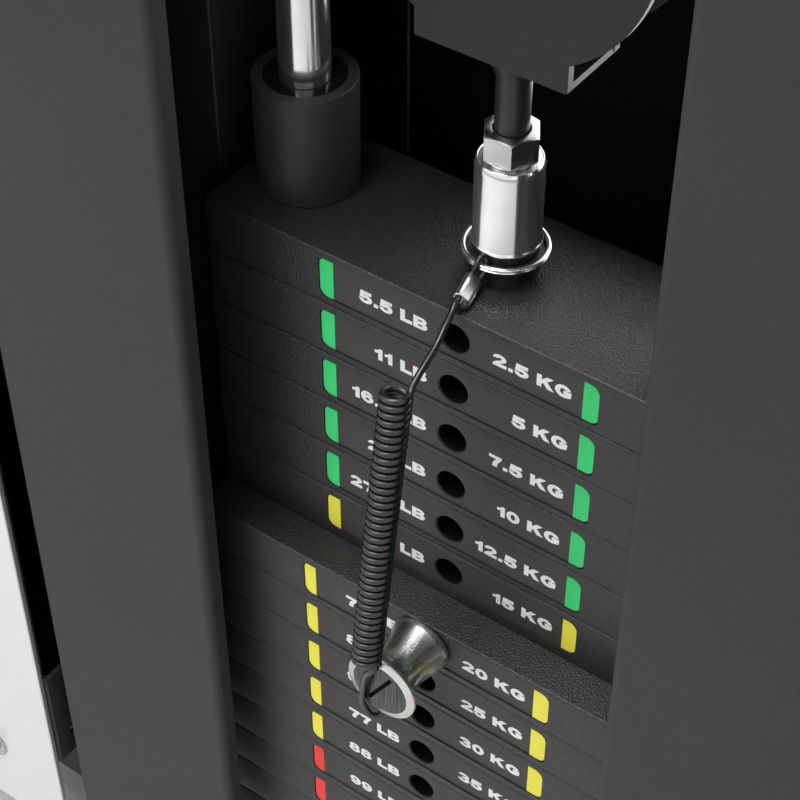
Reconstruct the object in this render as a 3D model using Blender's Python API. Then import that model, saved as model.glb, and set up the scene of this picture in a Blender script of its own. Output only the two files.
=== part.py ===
"""Selectorised cable machine: a weight stack tower with an adjustable pulley column.

Metres, +Z up, +X to the right. The numbered faces of the plates look toward -Y.
The origin lies on the floor under the centre of the weight stack.
"""
import math

import bmesh
import bpy
from mathutils import Matrix, Quaternion, Vector

# Round pieces that fit into each other have their own number of sides
ROD_STEPS = 20
CUSHION_STEPS = 12
COLLAR_STEPS = 18
GRIP_STEPS = 14

# Clearances
CLEAR = 0.0003
SLIDE_CLEAR = 0.0008
PLATE_GAP = 0.0003

# Weight stack
PLATE_T = 0.0317
PLATE_W = 0.290
LIGHT_DEPTH = 0.083
HEAVY_DEPTH = 0.127
LIGHT_COUNT = 6
HEAVY_COUNT = 9
LAST_LIGHT_EXTRA = 0.0017
PICKED = 7
PLATE_BEVEL = 0.0022
ROD_D = 0.025
ROD_X = 0.1135
ROD_BORE_CLEAR = 0.002
SELECTOR_D = 0.022
SELECTOR_BORE_CLEAR = 0.0015
PIN_D = 0.011
PIN_HOLE_D = 0.0155
PIN_REACH = 0.024
CROSS_HOLE_D = 0.0118
LABEL_W = 0.153
LABEL_H = 0.0228
LABEL_RECESS = 0.0012
LABEL_CORNER = 0.002

# Head of the stack
BOSS_H = 0.0162
BOSS_D = 0.032
RING_FLANGE_D = 0.0372
RING_FLANGE_T = 0.0012
RING_OUT_D = 0.042
RING_WIRE = 0.003
RING_DROP = 0.0040
COLLAR_D = 0.032
COLLAR_H = 0.0456
COLLAR_BEAD_D = 0.0342
COLLAR_DISH = 0.0005
STEM_D = 0.0158
STEM_HOLE_DEPTH = 0.028
JAM_NUT_AF = 0.024
JAM_NUT_H = 0.0155
SLEEVE_D = 0.0508
SLEEVE_WALL = 0.0055
SLEEVE_H = 0.0600
BUSH_RECESS = 0.0012

# Floating pulley and its yoke
YOKE_RISE = 0.121
YOKE_T = 0.004
YOKE_OUT_W = 0.0406
YOKE_TAB_W = 0.0756
YOKE_DISC_R = 0.074
YOKE_AXLE_RISE = 0.0774
YOKE_CORNER = 0.0012
YOKE_SHOULDER_R = 0.0145
YOKE_SHOULDER_H = 0.016
FLOAT_R = 0.057
FLOAT_AXLE_D = 0.016

# Selector pin knob, from the plate outward
KNOB_LEN = 0.0367
KNOB_BASE_R = 0.017
KNOB_WAIST_R = 0.0132
KNOB_RIM_R = 0.0206
KNOB_FACE_R = 0.0165
KNOB_SLOT_REACH = 0.0136
KNOB_SLOT_W = 0.0022
KNOB_SLOT_TURN = 31

# Curly lanyard
CORD_D = 0.0033
COIL_D = 0.0158
COIL_CURLS = 39
CURL_POINTS = 8
FERRULE_BARREL_R = 0.0025
FERRULE_BARREL_APART = 0.0040
FERRULE_ROLL = 36

# Frame
FOOT_H = 0.040
FOOT_W = 0.060
RIGHT_FOOT_W = 0.040
FOOT_LEN = 0.700
FOOT_BEVEL = 0.003
PAD_FLOOR = 0.010
PAD_LEN = 0.120
RAIL_H = 0.060
RAIL_W = 0.030
RAIL_SLOT = 0.030
RAIL_WALL = 0.0025
FRAME_LEFT_OVER = 0.075
FRAME_RIGHT_OVER = 0.047
TOP_LEFT_OVER = 0.050
TOP_RIGHT_OVER = 0.007
TOP_RAIL_Z = 1.960
TOP_RAIL_H = 0.085
BASE_PLATE_T = 0.008
CUSHION_H = 0.0564
CUSHION_D = 0.060
UPRIGHT_CLEAR = 0.009
UPRIGHT_W = 0.050
UPRIGHT_FRONT = -0.018
UPRIGHT_DEPTH = 0.060
ROD_PLATE_DROP = 0.035
ROD_PLATE_DEPTH = 0.060
STRAND_HOLE_R = 0.009

# Column and covers
COLUMN_APART = 0.288
COLUMN_W = 0.050
COLUMN_FRONT = 0.026
COLUMN_WALL = 0.003
COLUMN_PLATE_W = 0.090
COLUMN_PLATE_T = 0.008
COLUMN_HOLE_D = 0.0128
COLUMN_HOLE_STEP = 0.100
COLUMN_HOLE_LOW = 0.400
COLUMN_TOP_MARGIN = 0.250
SHROUD_FRONT = -0.0915
SHROUD_IN_X = 0.1215
SHROUD_CLEAR = 0.028
SHROUD_T = 0.0025
SHROUD_RETURN = 0.0115
SHROUD_BACK = 0.086
SHROUD_CORNER = 0.005
FASCIA_GAP = 0.016
FASCIA_W = 0.124
FASCIA_T = 0.004
FASCIA_FRONT = -0.0925
FASCIA_LOW = 0.060
BRACKET_LOW = 0.147
BRACKET_H = 0.085
BRACKET_T = 0.003
BRACKET_DROP = 0.190
BRACKET_TABS = 3
BRACKET_STRIP_W = 0.040
BRACKET_OUT = 0.003
BRACKET_DEPTH = 0.030
BRACKET_FLANGE = 0.045
BRACKET_HOLE_R = 0.0045

# Cable and pulleys
CABLE_D = 0.005
TURN_R = 0.045
SMALL_TURN_R = 0.033
PULLEY_LIP = 0.0045
SMALL_PULLEY_LIP = 0.004
PULLEY_RIM_W = 0.018
PULLEY_HUB_W = 0.028
PULLEY_BOSS_WALL = 0.0073
GROOVE_CLEAR = 0.0011
GROOVE_FLOOR_W = 0.0044
FLOAT_HUB_W = 0.031
FLOAT_RIM_W = 0.024
SWIVEL_AXLE_R = 0.006
SWIVEL_RIM_W = 0.016
AXLE_D = 0.016
TOP_AXLE_RISE = 0.030
PULLEY_SPACE = 0.0075
LEG_CLEAR = 0.025
BASE_AXLE_Z = 0.062

# Carriage, swivel and handle
CARRIAGE_Z = 1.000
CARRIAGE_WALL = 0.006
CARRIAGE_UP = 0.075
CARRIAGE_DOWN = 0.083
LUG_T = 0.008
LUG_INSET = 0.012
ANCHOR_T = 0.016
LUG_W = 0.040
SPIGOT_R = 0.0096
SWIVEL_DISC_R = 0.0185
SWIVEL_DISC_T = 0.009
CHEEK_T = 0.004
CHEEK_GAP = 0.022
NOSE_CLEAR = 0.004
NOSE_HALF_H = 0.012
NOSE_T = 0.003
CABLE_PASS_CLEAR = 0.0015
POP_PIN_R = 0.006
POP_BOSS_R = 0.012
POP_BOSS_LEN = 0.020
POP_KNOB_R = 0.016
POP_KNOB_LEN = 0.028
POP_TRAVEL = 0.014
POP_REACH = 0.013
BALL_R = 0.018
BALL_CUT = 68
BALL_NECK_R = 0.005
BALL_NECK_LEN = 0.006
HOOK_WIRE_R = 0.003
HOOK_W = 0.024
HOOK_H = 0.060
EYE_R = 0.007
EYE_WIRE_R = 0.0025
BAIL_ROD_R = 0.004
BAIL_W = 0.124
BAIL_H = 0.105
BAIL_BEND = 0.022
BAIL_NECK_R = 0.0035
BAIL_NECK_LEN = 0.010
GRIP_R = 0.016
GRIP_LEN = 0.112
GRIP_ROD_R = 0.005

# Places worked out from the sizes above
PITCH = PLATE_T + PLATE_GAP
PLATE_COUNT = LIGHT_COUNT + HEAVY_COUNT
RAIL_TOP = FOOT_H + RAIL_H
RAIL_OUT = RAIL_SLOT / 2 + RAIL_W
STACK_BASE = RAIL_TOP + BASE_PLATE_T + CUSHION_H + 2 * CLEAR
TOP_HOLE_Z = STACK_BASE + PLATE_T / 2 + (PLATE_COUNT - 1) * PITCH + LAST_LIGHT_EXTRA
STACK_TOP = TOP_HOLE_Z + PLATE_T / 2
LIGHT_FRONT = -LIGHT_DEPTH / 2
HEAVY_FRONT = -HEAVY_DEPTH / 2
BOSS_TOP = STACK_TOP + BOSS_H
RING_Z = BOSS_TOP - RING_DROP
COLLAR_LOW = BOSS_TOP + CLEAR
COLLAR_TOP = COLLAR_LOW + COLLAR_H
YOKE_LOW = STACK_TOP + YOKE_RISE
YOKE_AXLE_Z = YOKE_LOW + YOKE_AXLE_RISE
PIN_Z = TOP_HOLE_Z - (PICKED - 1) * PITCH - LAST_LIGHT_EXTRA
STRAND_X = FLOAT_R
TOP_TURN_X = STRAND_X + TURN_R
TOP_EDGE_X = TOP_TURN_X + TURN_R + PULLEY_LIP + PULLEY_SPACE
UPRIGHT_X = PLATE_W / 2 + UPRIGHT_CLEAR
UPRIGHT_OUT_X = UPRIGHT_X + UPRIGHT_W
RIGHT_LEG_X = max(TOP_EDGE_X + SMALL_PULLEY_LIP + 2 * SMALL_TURN_R, UPRIGHT_OUT_X + LEG_CLEAR)
OUTER_TURN_X = RIGHT_LEG_X - SMALL_TURN_R
SHROUD_OUT_X = RIGHT_LEG_X + SHROUD_CLEAR
FASCIA_RIGHT = -SHROUD_OUT_X - FASCIA_GAP
COLUMN_X = -SHROUD_OUT_X - COLUMN_APART
COLUMN_TOP_X = COLUMN_X + TURN_R
COLUMN_LOW_X = COLUMN_X + SMALL_TURN_R
FRAME_LEFT = COLUMN_X - FRAME_LEFT_OVER
FRAME_RIGHT = RIGHT_LEG_X + FRAME_RIGHT_OVER
TOP_LEFT = COLUMN_X - TOP_LEFT_OVER
TOP_RIGHT = RIGHT_LEG_X + TOP_RIGHT_OVER
ROD_PLATE_Z = TOP_RAIL_Z - ROD_PLATE_DROP
TOP_AXLE_Z = TOP_RAIL_Z + TOP_AXLE_RISE
BRACKET_HIGH = TOP_RAIL_Z - BRACKET_DROP
COLUMN_HOLES = 1 + int((TOP_RAIL_Z - COLUMN_TOP_MARGIN - COLUMN_HOLE_LOW) / COLUMN_HOLE_STEP)
TOP_RUN_Z = TOP_AXLE_Z + TURN_R
OUTER_AXLE_Z = TOP_RUN_Z - SMALL_TURN_R
HANDLE_RUN_Z = CARRIAGE_Z - SMALL_TURN_R
SWIVEL_Y = -SMALL_TURN_R
NOSE_Y = SWIVEL_Y - SMALL_TURN_R - SMALL_PULLEY_LIP - NOSE_CLEAR
TOP_LUG_Z = CARRIAGE_Z + CARRIAGE_UP - LUG_INSET - LUG_T
LOW_LUG_Z = CARRIAGE_Z - CARRIAGE_DOWN + ANCHOR_T
PI = math.pi

MATERIALS = {}


def clear_scene():
    """Remove what the start-up file holds."""
    for obj in list(bpy.data.objects):
        bpy.data.objects.remove(obj)


def material(name, colour, roughness, metallic):
    """Make a Principled material, once for each name."""
    if name not in MATERIALS:
        mat = bpy.data.materials.new(name)
        mat.use_nodes = True
        shader = mat.node_tree.nodes["Principled BSDF"]
        shader.inputs["Base Color"].default_value = (*colour, 1)
        shader.inputs["Roughness"].default_value = roughness
        shader.inputs["Metallic"].default_value = metallic
        mat.diffuse_color = (*colour, 1)
        MATERIALS[name] = mat
    return MATERIALS[name]


def powder_black():
    return material("powder_black", (0.035, 0.035, 0.037), 0.5, 0.0)


def frame_black():
    return material("frame_black", (0.02, 0.02, 0.022), 0.45, 0.0)


def shroud_grey():
    return material("shroud_grey", (0.07, 0.072, 0.075), 0.55, 0.0)


def white_gloss():
    return material("white_gloss", (0.8, 0.8, 0.8), 0.15, 0.0)


def chrome():
    return material("chrome", (0.75, 0.75, 0.76), 0.08, 1.0)


def dark_steel():
    return material("dark_steel", (0.08, 0.08, 0.085), 0.35, 1.0)


def steel():
    return material("steel", (0.45, 0.45, 0.46), 0.3, 1.0)


def rubber():
    return material("rubber", (0.03, 0.03, 0.03), 0.8, 0.0)


def nylon():
    return material("nylon", (0.05, 0.05, 0.055), 0.4, 0.0)


def sleeve_black():
    return material("sleeve_black", (0.05, 0.05, 0.05), 0.5, 0.0)


def cord_black():
    return material("cord_black", (0.03, 0.03, 0.03), 0.25, 0.0)


def finish(obj, mat, smooth):
    """Link an object, give it its material and shade it."""
    bpy.context.scene.collection.objects.link(obj)
    obj.data.materials.clear()
    obj.data.materials.append(mat)
    if smooth:
        obj.data.shade_smooth()
        obj.data.set_sharp_from_angle(angle=math.radians(32))
    return obj


def mesh_from(bm, name):
    """Turn a bmesh into a mesh whose faces look outward."""
    bmesh.ops.recalc_face_normals(bm, faces=bm.faces)
    mesh = bpy.data.meshes.new(name)
    bm.to_mesh(mesh)
    bm.free()
    return mesh


def box_bm(low, high):
    """A bmesh box between two corners."""
    bm = bmesh.new()
    size = Vector(high) - Vector(low)
    middle = (Vector(high) + Vector(low)) / 2
    place = Matrix.Translation(middle) @ Matrix.Diagonal((*size, 1))
    bmesh.ops.create_cube(bm, size=1, matrix=place)
    return bm


def add_bevel(obj, width, segments):
    """Round an object's sharp edges."""
    bevel = obj.modifiers.new("edges", "BEVEL")
    bevel.width = width
    bevel.segments = segments
    bevel.limit_method = "ANGLE"
    bevel.angle_limit = math.radians(40)


def block(name, low, high, mat, bevel=0.0, segments=1):
    """A rectangular piece between two corners."""
    obj = bpy.data.objects.new(name, mesh_from(box_bm(low, high), name))
    finish(obj, mat, False)
    if bevel:
        add_bevel(obj, bevel, segments)
    return obj


def turn_to(axis):
    """The turn that takes +Z to an axis."""
    return Vector((0, 0, 1)).rotation_difference(Vector(axis)).to_matrix().to_4x4()


def spin_bm(outline, steps):
    """Spin an outline of (radius, height) points round +Z into a closed solid."""
    bm = bmesh.new()
    verts = [bm.verts.new((radius, 0, height)) for radius, height in outline]
    edges = [bm.edges.new((verts[i], verts[(i + 1) % len(verts)])) for i in range(len(verts))]
    bmesh.ops.spin(bm, geom=verts + edges, cent=(0, 0, 0), axis=(0, 0, 1), angle=2 * PI,
                   steps=steps, use_merge=True)
    bmesh.ops.remove_doubles(bm, verts=bm.verts, dist=1e-6)
    loose = [edge for edge in bm.edges if not edge.link_faces]
    bmesh.ops.delete(bm, geom=loose, context="EDGES")
    return bm


def turned(name, outline, mat, place=(0, 0, 0), axis=(0, 0, 1), steps=32):
    """A turned piece whose own +Z lies along an axis through its place."""
    bm = spin_bm(outline, steps)
    bmesh.ops.transform(bm, matrix=turn_to(axis), verts=bm.verts)
    obj = bpy.data.objects.new(name, mesh_from(bm, name))
    obj.location = place
    return finish(obj, mat, True)


def rod_outline(radius, low, high, chamfer):
    """The outline of a solid bar with chamfered ends."""
    return [(0, low), (radius - chamfer, low), (radius, low + chamfer), (radius, high - chamfer),
            (radius - chamfer, high), (0, high)]


def prism(name, outline, low, high, mat, axis=2, smooth=False):
    """Extrude a flat outline along X (0), Y (1) or Z (2) between two heights."""
    bm = bmesh.new()
    order = {0: (2, 0, 1), 1: (0, 2, 1), 2: (0, 1, 2)}[axis]

    def corner(a, b, height):
        flat = (a, b, height)
        return bm.verts.new([flat[i] for i in order])

    bottom = [corner(a, b, low) for a, b in outline]
    top = [corner(a, b, high) for a, b in outline]
    bm.faces.new(bottom)
    bm.faces.new(top)
    count = len(outline)
    for i in range(count):
        bm.faces.new((bottom[i], bottom[(i + 1) % count], top[(i + 1) % count], top[i]))
    obj = bpy.data.objects.new(name, mesh_from(bm, name))
    return finish(obj, mat, smooth)


def arc(centre, radius, start, end, steps):
    """Points on an arc, angles in degrees."""
    points = []
    for i in range(steps + 1):
        angle = math.radians(start + (end - start) * i / steps)
        points.append((centre[0] + radius * math.cos(angle), centre[1] + radius * math.sin(angle)))
    return points


def rounded(half_w, half_h, radius, steps):
    """A rounded rectangle round the origin."""
    points = []
    for sx, sy, start in ((1, 1, 0), (-1, 1, 90), (-1, -1, 180), (1, -1, 270)):
        middle = (sx * (half_w - radius), sy * (half_h - radius))
        points += arc(middle, radius, start, start + 90, steps)
    return points


def sheet_outline(path, thickness):
    """Thicken a flat path to its left into the outline of a bent sheet."""
    inner = []
    for i, point in enumerate(path):
        here = Vector(point)
        before = Vector(path[max(i - 1, 0)])
        after = Vector(path[min(i + 1, len(path) - 1)])
        sides = []
        if i > 0:
            sides.append((here - before).normalized())
        if i < len(path) - 1:
            sides.append((after - here).normalized())
        normals = [Vector((-side.y, side.x)) for side in sides]
        mean = sum(normals, Vector((0, 0))).normalized()
        inner.append(tuple(here + mean * thickness / mean.dot(normals[0])))
    return list(path) + inner[::-1]


def helper(obj):
    """Mark an object as a cutter or a joined shape that is left out of the build."""
    obj.hide_render = True
    obj.display_type = "WIRE"
    return obj


def boolean(obj, tool, operation):
    """Cut a tool from an object, or join it to the object."""
    helper(tool)
    modifier = obj.modifiers.new(operation.lower(), "BOOLEAN")
    modifier.operation = operation
    modifier.object = tool
    modifier.solver = "EXACT"


def bar(name, radius, start, axis, length, steps=14):
    """A plain round bar from a start point along an axis, for cutting or joining."""
    outline = [(0, 0), (radius, 0), (radius, length), (0, length)]
    return turned(name, outline, dark_steel(), start, axis, steps)


def cut(obj, tool):
    boolean(obj, tool, "DIFFERENCE")


def around(radius, steps):
    """The corner radius of a hole whose flats still clear a radius."""
    return radius / math.cos(PI / steps)


def bore(obj, name, radius, start, axis, length, steps=12):
    """Cut a round hole that clears a radius."""
    cut(obj, bar(name, around(radius, steps), start, axis, length, steps))


def join(obj, tool):
    boolean(obj, tool, "UNION")


def tube(name, points, radius, mat, resolution=2, cyclic=False):
    """A round tube along a list of points."""
    curve = bpy.data.curves.new(name, "CURVE")
    curve.dimensions = "3D"
    curve.bevel_depth = radius
    curve.bevel_resolution = resolution
    curve.use_fill_caps = not cyclic
    spline = curve.splines.new("POLY")
    spline.points.add(len(points) - 1)
    for target, point in zip(spline.points, points):
        target.co = (*point, 1)
        target.radius = 1
    spline.use_cyclic_u = cyclic
    spline.use_smooth = True
    obj = bpy.data.objects.new(name, curve)
    bpy.context.scene.collection.objects.link(obj)
    curve.materials.append(mat)
    return obj


def settle(obj):
    """Give an object its evaluated mesh and clear its modifiers."""
    graph = bpy.context.evaluated_depsgraph_get()
    mesh = bpy.data.meshes.new_from_object(obj.evaluated_get(graph))
    mesh.name = obj.name
    obj.modifiers.clear()
    obj.data = mesh
    return mesh


def settle_curve(obj):
    """Replace a curve object by a mesh object of the same name and shape."""
    graph = bpy.context.evaluated_depsgraph_get()
    name = obj.name
    mesh = bpy.data.meshes.new_from_object(obj.evaluated_get(graph))
    mat = obj.data.materials[0]
    bpy.data.objects.remove(obj)
    mesh.name = name
    return finish(bpy.data.objects.new(name, mesh), mat, True)


# Weight plates

def plate_template(name, depth, with_boss, extra):
    """One plate round its pin hole: bores and label recess, extra being added underneath."""
    half_w = PLATE_W / 2
    half_d = depth / 2
    half_t = PLATE_T / 2
    bottom = -half_t - extra
    plate = block(name, (-half_w, -half_d, bottom), (half_w, half_d, half_t), powder_black(), PLATE_BEVEL)
    above = half_t + 0.001
    if with_boss:
        radius = BOSS_D / 2
        flange = RING_FLANGE_D / 2
        seat = half_t + BOSS_H - RING_DROP - RING_WIRE / 2 - CLEAR
        top = half_t + BOSS_H
        outline = [(0, 0), (radius, 0), (radius, seat - RING_FLANGE_T), (flange, seat - RING_FLANGE_T),
                   (flange, seat), (radius, seat), (radius, top), (0, top)]
        join(plate, turned(name + "_boss", outline, powder_black(), steps=20))
        above = top + 0.001
    low = bottom - 0.001
    length = above - low
    for side in (-1, 1):
        radius = ROD_D / 2 + ROD_BORE_CLEAR
        bore(plate, f"{name}_rod_bore_{side}", radius, (side * ROD_X, 0, low), (0, 0, 1), length, 8)
    radius = SELECTOR_D / 2 + SELECTOR_BORE_CLEAR
    bore(plate, f"{name}_centre_bore", radius, (0, 0, low), (0, 0, 1), length, 8)
    start = (0, -half_d - 0.001, 0)
    cut(plate, bar(f"{name}_pin_hole", PIN_HOLE_D / 2, start, (0, 1, 0), half_d + 0.001 + PIN_REACH, 12))
    outline = rounded(LABEL_W / 2, LABEL_H / 2, LABEL_CORNER, 1)
    recess = prism(f"{name}_recess", outline, -half_d - 0.001, -half_d + LABEL_RECESS, dark_steel(), axis=1)
    cut(plate, recess)
    return settle(plate)


def hole_height(number):
    """The height of a plate's pin hole, the top plate being number 1."""
    drop = LAST_LIGHT_EXTRA if number > LIGHT_COUNT else 0
    return TOP_HOLE_Z - (number - 1) * PITCH - drop


def weight_plates():
    """The stack, from the top plate down, with shared meshes for like plates."""
    templates = {}
    for number in range(1, PLATE_COUNT + 1):
        depth = LIGHT_DEPTH if number <= LIGHT_COUNT else HEAVY_DEPTH
        extra = LAST_LIGHT_EXTRA if number == LIGHT_COUNT else 0
        kind = (depth, number == 1, extra)
        name = f"plate_{number:02d}"
        if kind not in templates:
            templates[kind] = plate_template(name, *kind)
            plate = bpy.data.objects[name]
        else:
            plate = bpy.data.objects.new(name, templates[kind])
            bpy.context.scene.collection.objects.link(plate)
        plate.location = (0, 0, hole_height(number))


# Head of the stack

def hex_outline(across_flats, turn):
    """A hexagon's corners."""
    radius = across_flats / math.sqrt(3)
    return [(radius * math.cos(math.radians(turn + 60 * i)), radius * math.sin(math.radians(turn + 60 * i)))
            for i in range(6)]


def stack_head():
    """Selector rod, collar, jam nut and the stem that carries the pulley yoke."""
    rod_low = STACK_BASE - 0.022
    rod_high = BOSS_TOP - CLEAR
    rod = turned("selector_rod", rod_outline(SELECTOR_D / 2, rod_low, rod_high, 0.001), steel(), steps=12)
    for number in range(1, PLATE_COUNT + 1):
        start = (0, -SELECTOR_D, hole_height(number))
        bore(rod, f"cross_hole_{number}", CROSS_HOLE_D / 2, start, (0, 1, 0), 2 * SELECTOR_D, 6)

    radius = COLLAR_D / 2
    bead = COLLAR_BEAD_D / 2
    hole = around(STEM_D / 2 + CLEAR, COLLAR_STEPS)
    floor = COLLAR_H - STEM_HOLE_DEPTH
    top = COLLAR_H - COLLAR_DISH
    outline = [(0, 0), (radius, 0), (bead, 0.0008), (bead, 0.0022), (radius, 0.0034),
               (radius, COLLAR_H - 0.0031), (radius - 0.0003, COLLAR_H - 0.0012),
               (radius - 0.0008, COLLAR_H), (radius - 0.0016, top), (hole, top), (hole, floor), (0, floor)]
    turned("head_collar", outline, chrome(), (0, 0, COLLAR_LOW), steps=COLLAR_STEPS)

    nut_low = COLLAR_TOP - COLLAR_DISH + CLEAR
    nut = prism("jam_nut", hex_outline(JAM_NUT_AF, -54), nut_low, nut_low + JAM_NUT_H, steel())
    bore(nut, "jam_nut_bore", STEM_D / 2 + CLEAR, (0, 0, nut_low - 0.001), (0, 0, 1), JAM_NUT_H + 0.002)

    stem_low = COLLAR_LOW + floor + CLEAR
    shoulder_low = YOKE_LOW - YOKE_SHOULDER_H
    outline = [(0, stem_low), (STEM_D / 2, stem_low), (STEM_D / 2, shoulder_low),
               (YOKE_SHOULDER_R, shoulder_low), (YOKE_SHOULDER_R, YOKE_LOW - CLEAR), (0, YOKE_LOW - CLEAR)]
    turned("yoke_stem", outline, dark_steel(), steps=14)


def yoke_side(name, low_y, high_y):
    """One cheek of the yoke: a tab below a round guard disc."""
    half = YOKE_TAB_W / 2
    corner = YOKE_CORNER
    rise = YOKE_AXLE_Z - YOKE_LOW
    meet = math.degrees(math.asin(half / YOKE_DISC_R))
    outline = [(-half + corner, 0), (half - corner, 0)]
    outline += arc((half - corner, corner), corner, -60, 0, 2)
    outline += arc((0, rise), YOKE_DISC_R, -90 + meet, 270 - meet, 20)
    outline += arc((-half + corner, corner), corner, 180, 240, 2)
    return prism(name, [(x, z + YOKE_LOW) for x, z in outline], low_y, high_y, dark_steel(), axis=1)


def pulley_yoke():
    """The bent yoke of the floating pulley with its axle."""
    out = YOKE_OUT_W / 2
    yoke = yoke_side("pulley_yoke", -out, -out + YOKE_T)
    join(yoke, yoke_side("yoke_rear_cheek", out - YOKE_T, out))
    half = YOKE_TAB_W / 2 - YOKE_CORNER
    floor = block("yoke_floor", (-half, -out + 0.001, YOKE_LOW), (half, out - 0.001, YOKE_LOW + YOKE_T),
                  dark_steel())
    join(yoke, floor)
    start = (0, -out - 0.006, YOKE_AXLE_Z)
    join(yoke, bar("yoke_axle", FLOAT_AXLE_D / 2, start, (0, 1, 0), YOKE_OUT_W + 0.012, 12))


def guide_sleeves():
    """Sleeves with an inner bush that ride on the guide rods."""
    outer = SLEEVE_D / 2
    inner = outer - SLEEVE_WALL
    bush = around(ROD_D / 2 + CLEAR, ROD_STEPS)
    floor = SLEEVE_H - BUSH_RECESS
    outline = [(bush, 0), (outer, 0), (outer, SLEEVE_H - 0.0008), (outer - 0.0008, SLEEVE_H),
               (inner, SLEEVE_H), (inner, floor), (bush, floor)]
    for side, label in ((-1, "left"), (1, "right")):
        turned(f"guide_sleeve_{label}", outline, sleeve_black(), (side * ROD_X, 0, STACK_TOP + CLEAR),
               steps=ROD_STEPS)


def guide_rods():
    """Chromed rods between the base plate and the top plate, and their rubber cushions."""
    low = RAIL_TOP
    high = ROD_PLATE_Z + BASE_PLATE_T
    for side, label in ((-1, "left"), (1, "right")):
        outline = rod_outline(ROD_D / 2, low, high, 0.001)
        turned(f"guide_rod_{label}", outline, chrome(), (side * ROD_X, 0, 0), steps=ROD_STEPS)
        inner = around(ROD_D / 2 + CLEAR, CUSHION_STEPS)
        outer = CUSHION_D / 2
        height = CUSHION_H
        waist = outer - 0.004
        outline = [(inner, 0), (outer, 0), (outer, height * 0.4), (waist, height * 0.47),
                   (waist, height * 0.53), (outer, height * 0.6), (outer, height - 0.003),
                   (outer - 0.003, height), (inner, height)]
        place = (side * ROD_X, 0, RAIL_TOP + BASE_PLATE_T + CLEAR)
        turned(f"cushion_{label}", outline, rubber(), place, steps=CUSHION_STEPS)


# Selector pin, ring and lanyard

def selector_pin():
    """The pin in the picked plate, with its spool knob. Its own +Z points to the front."""
    depth = PIN_REACH - 0.002
    front = -HEAVY_FRONT
    base = front + CLEAR
    end = base + KNOB_LEN
    shaft = PIN_D / 2
    outline = [(0, -depth), (shaft - 0.0015, -depth), (shaft, 0.0015 - depth), (shaft, base),
               (KNOB_BASE_R, base), (KNOB_BASE_R, base + 0.0030), (0.0155, base + 0.0075),
               (0.0139, base + 0.0135), (KNOB_WAIST_R, base + 0.0190), (0.0139, base + 0.0240),
               (0.0165, end - 0.0057), (KNOB_RIM_R, end - 0.0027), (KNOB_RIM_R, end - 0.0015),
               (KNOB_FACE_R, end), (0, end)]
    pin = turned("selector_pin", outline, chrome(), (0, 0, PIN_Z), (0, -1, 0), steps=18)
    turn = Matrix.Rotation(math.radians(-KNOB_SLOT_TURN), 2)
    corners = [turn @ Vector((x, z)) for x, z in rounded(KNOB_SLOT_W / 2, KNOB_SLOT_REACH, 0.0005, 1)]
    cut(pin, prism("knob_slot", [(x, z + PIN_Z) for x, z in corners], -end - 0.001, -end + 0.0012, chrome(),
                   axis=1))


def lanyard_ring():
    """The split ring that rests on the flange of the boss."""
    middle = (RING_OUT_D - RING_WIRE) / 2
    points = [(x, y, RING_Z) for x, y in arc((0, 0), middle, 0, 360, 20)[:-1]]
    tube("lanyard_ring", points, RING_WIRE / 2, chrome(), 1, True)


def smooth_route(points, step):
    """Read evenly spaced points from a smooth curve through the given ones."""
    route = [Vector(p) for p in points]
    route = [route[0] * 2 - route[1]] + route + [route[-1] * 2 - route[-2]]
    fine = []
    for i in range(1, len(route) - 2):
        a, b, c, d = route[i - 1:i + 3]
        for k in range(24):
            t = k / 24
            fine.append(0.5 * (2 * b + (c - a) * t + (2 * a - 5 * b + 4 * c - d) * t * t
                               + (3 * b - a - 3 * c + d) * t ** 3))
    fine.append(route[-2])
    even = [fine[0]]
    travel = 0.0
    for before, after in zip(fine, fine[1:]):
        travel += (after - before).length
        if travel >= step:
            even.append(after)
            travel = 0.0
    if (even[-1] - fine[-1]).length < step * 0.5:
        even.pop()
    even.append(fine[-1])
    return even


def along_front(x, y, z):
    """A lanyard point: y from the front of the light plates, z from the top pin hole."""
    return Vector((x, LIGHT_FRONT + y, TOP_HOLE_Z + z))


def above_pin(x, y, z):
    """A lanyard point: y from the front of the light plates, z from the axis of the pin."""
    return Vector((x, LIGHT_FRONT + y, PIN_Z + z))


COIL_TOP = along_front(0.0003, -0.0446, 0.0023)
COIL_LOW = above_pin(-0.0015, -0.0679, 0.0301)
FERRULE_TOP = along_front(-0.0041, 0.0190, 0.0227)
FERRULE_LOW = along_front(-0.0007, 0.0040, 0.0218)
KNOB_ENTRY = Vector((-0.0010, HEAVY_FRONT - 0.0195, PIN_Z - KNOB_WAIST_R - 0.0006))


def coil_points():
    """The curls of the lanyard, from the top down."""
    axis = (COIL_LOW - COIL_TOP).normalized()
    side = axis.cross(Vector((0, 1, 0))).normalized()
    front = axis.cross(side).normalized()
    radius = (COIL_D - CORD_D) / 2
    total = COIL_CURLS * CURL_POINTS
    start = math.radians(-20)
    points = []
    for i in range(total + 1):
        share = i / total
        angle = start + 2 * PI * i / CURL_POINTS
        centre = COIL_TOP.lerp(COIL_LOW, share)
        points.append(centre + (side * math.cos(angle) + front * math.sin(angle)) * radius)
    return points


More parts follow.
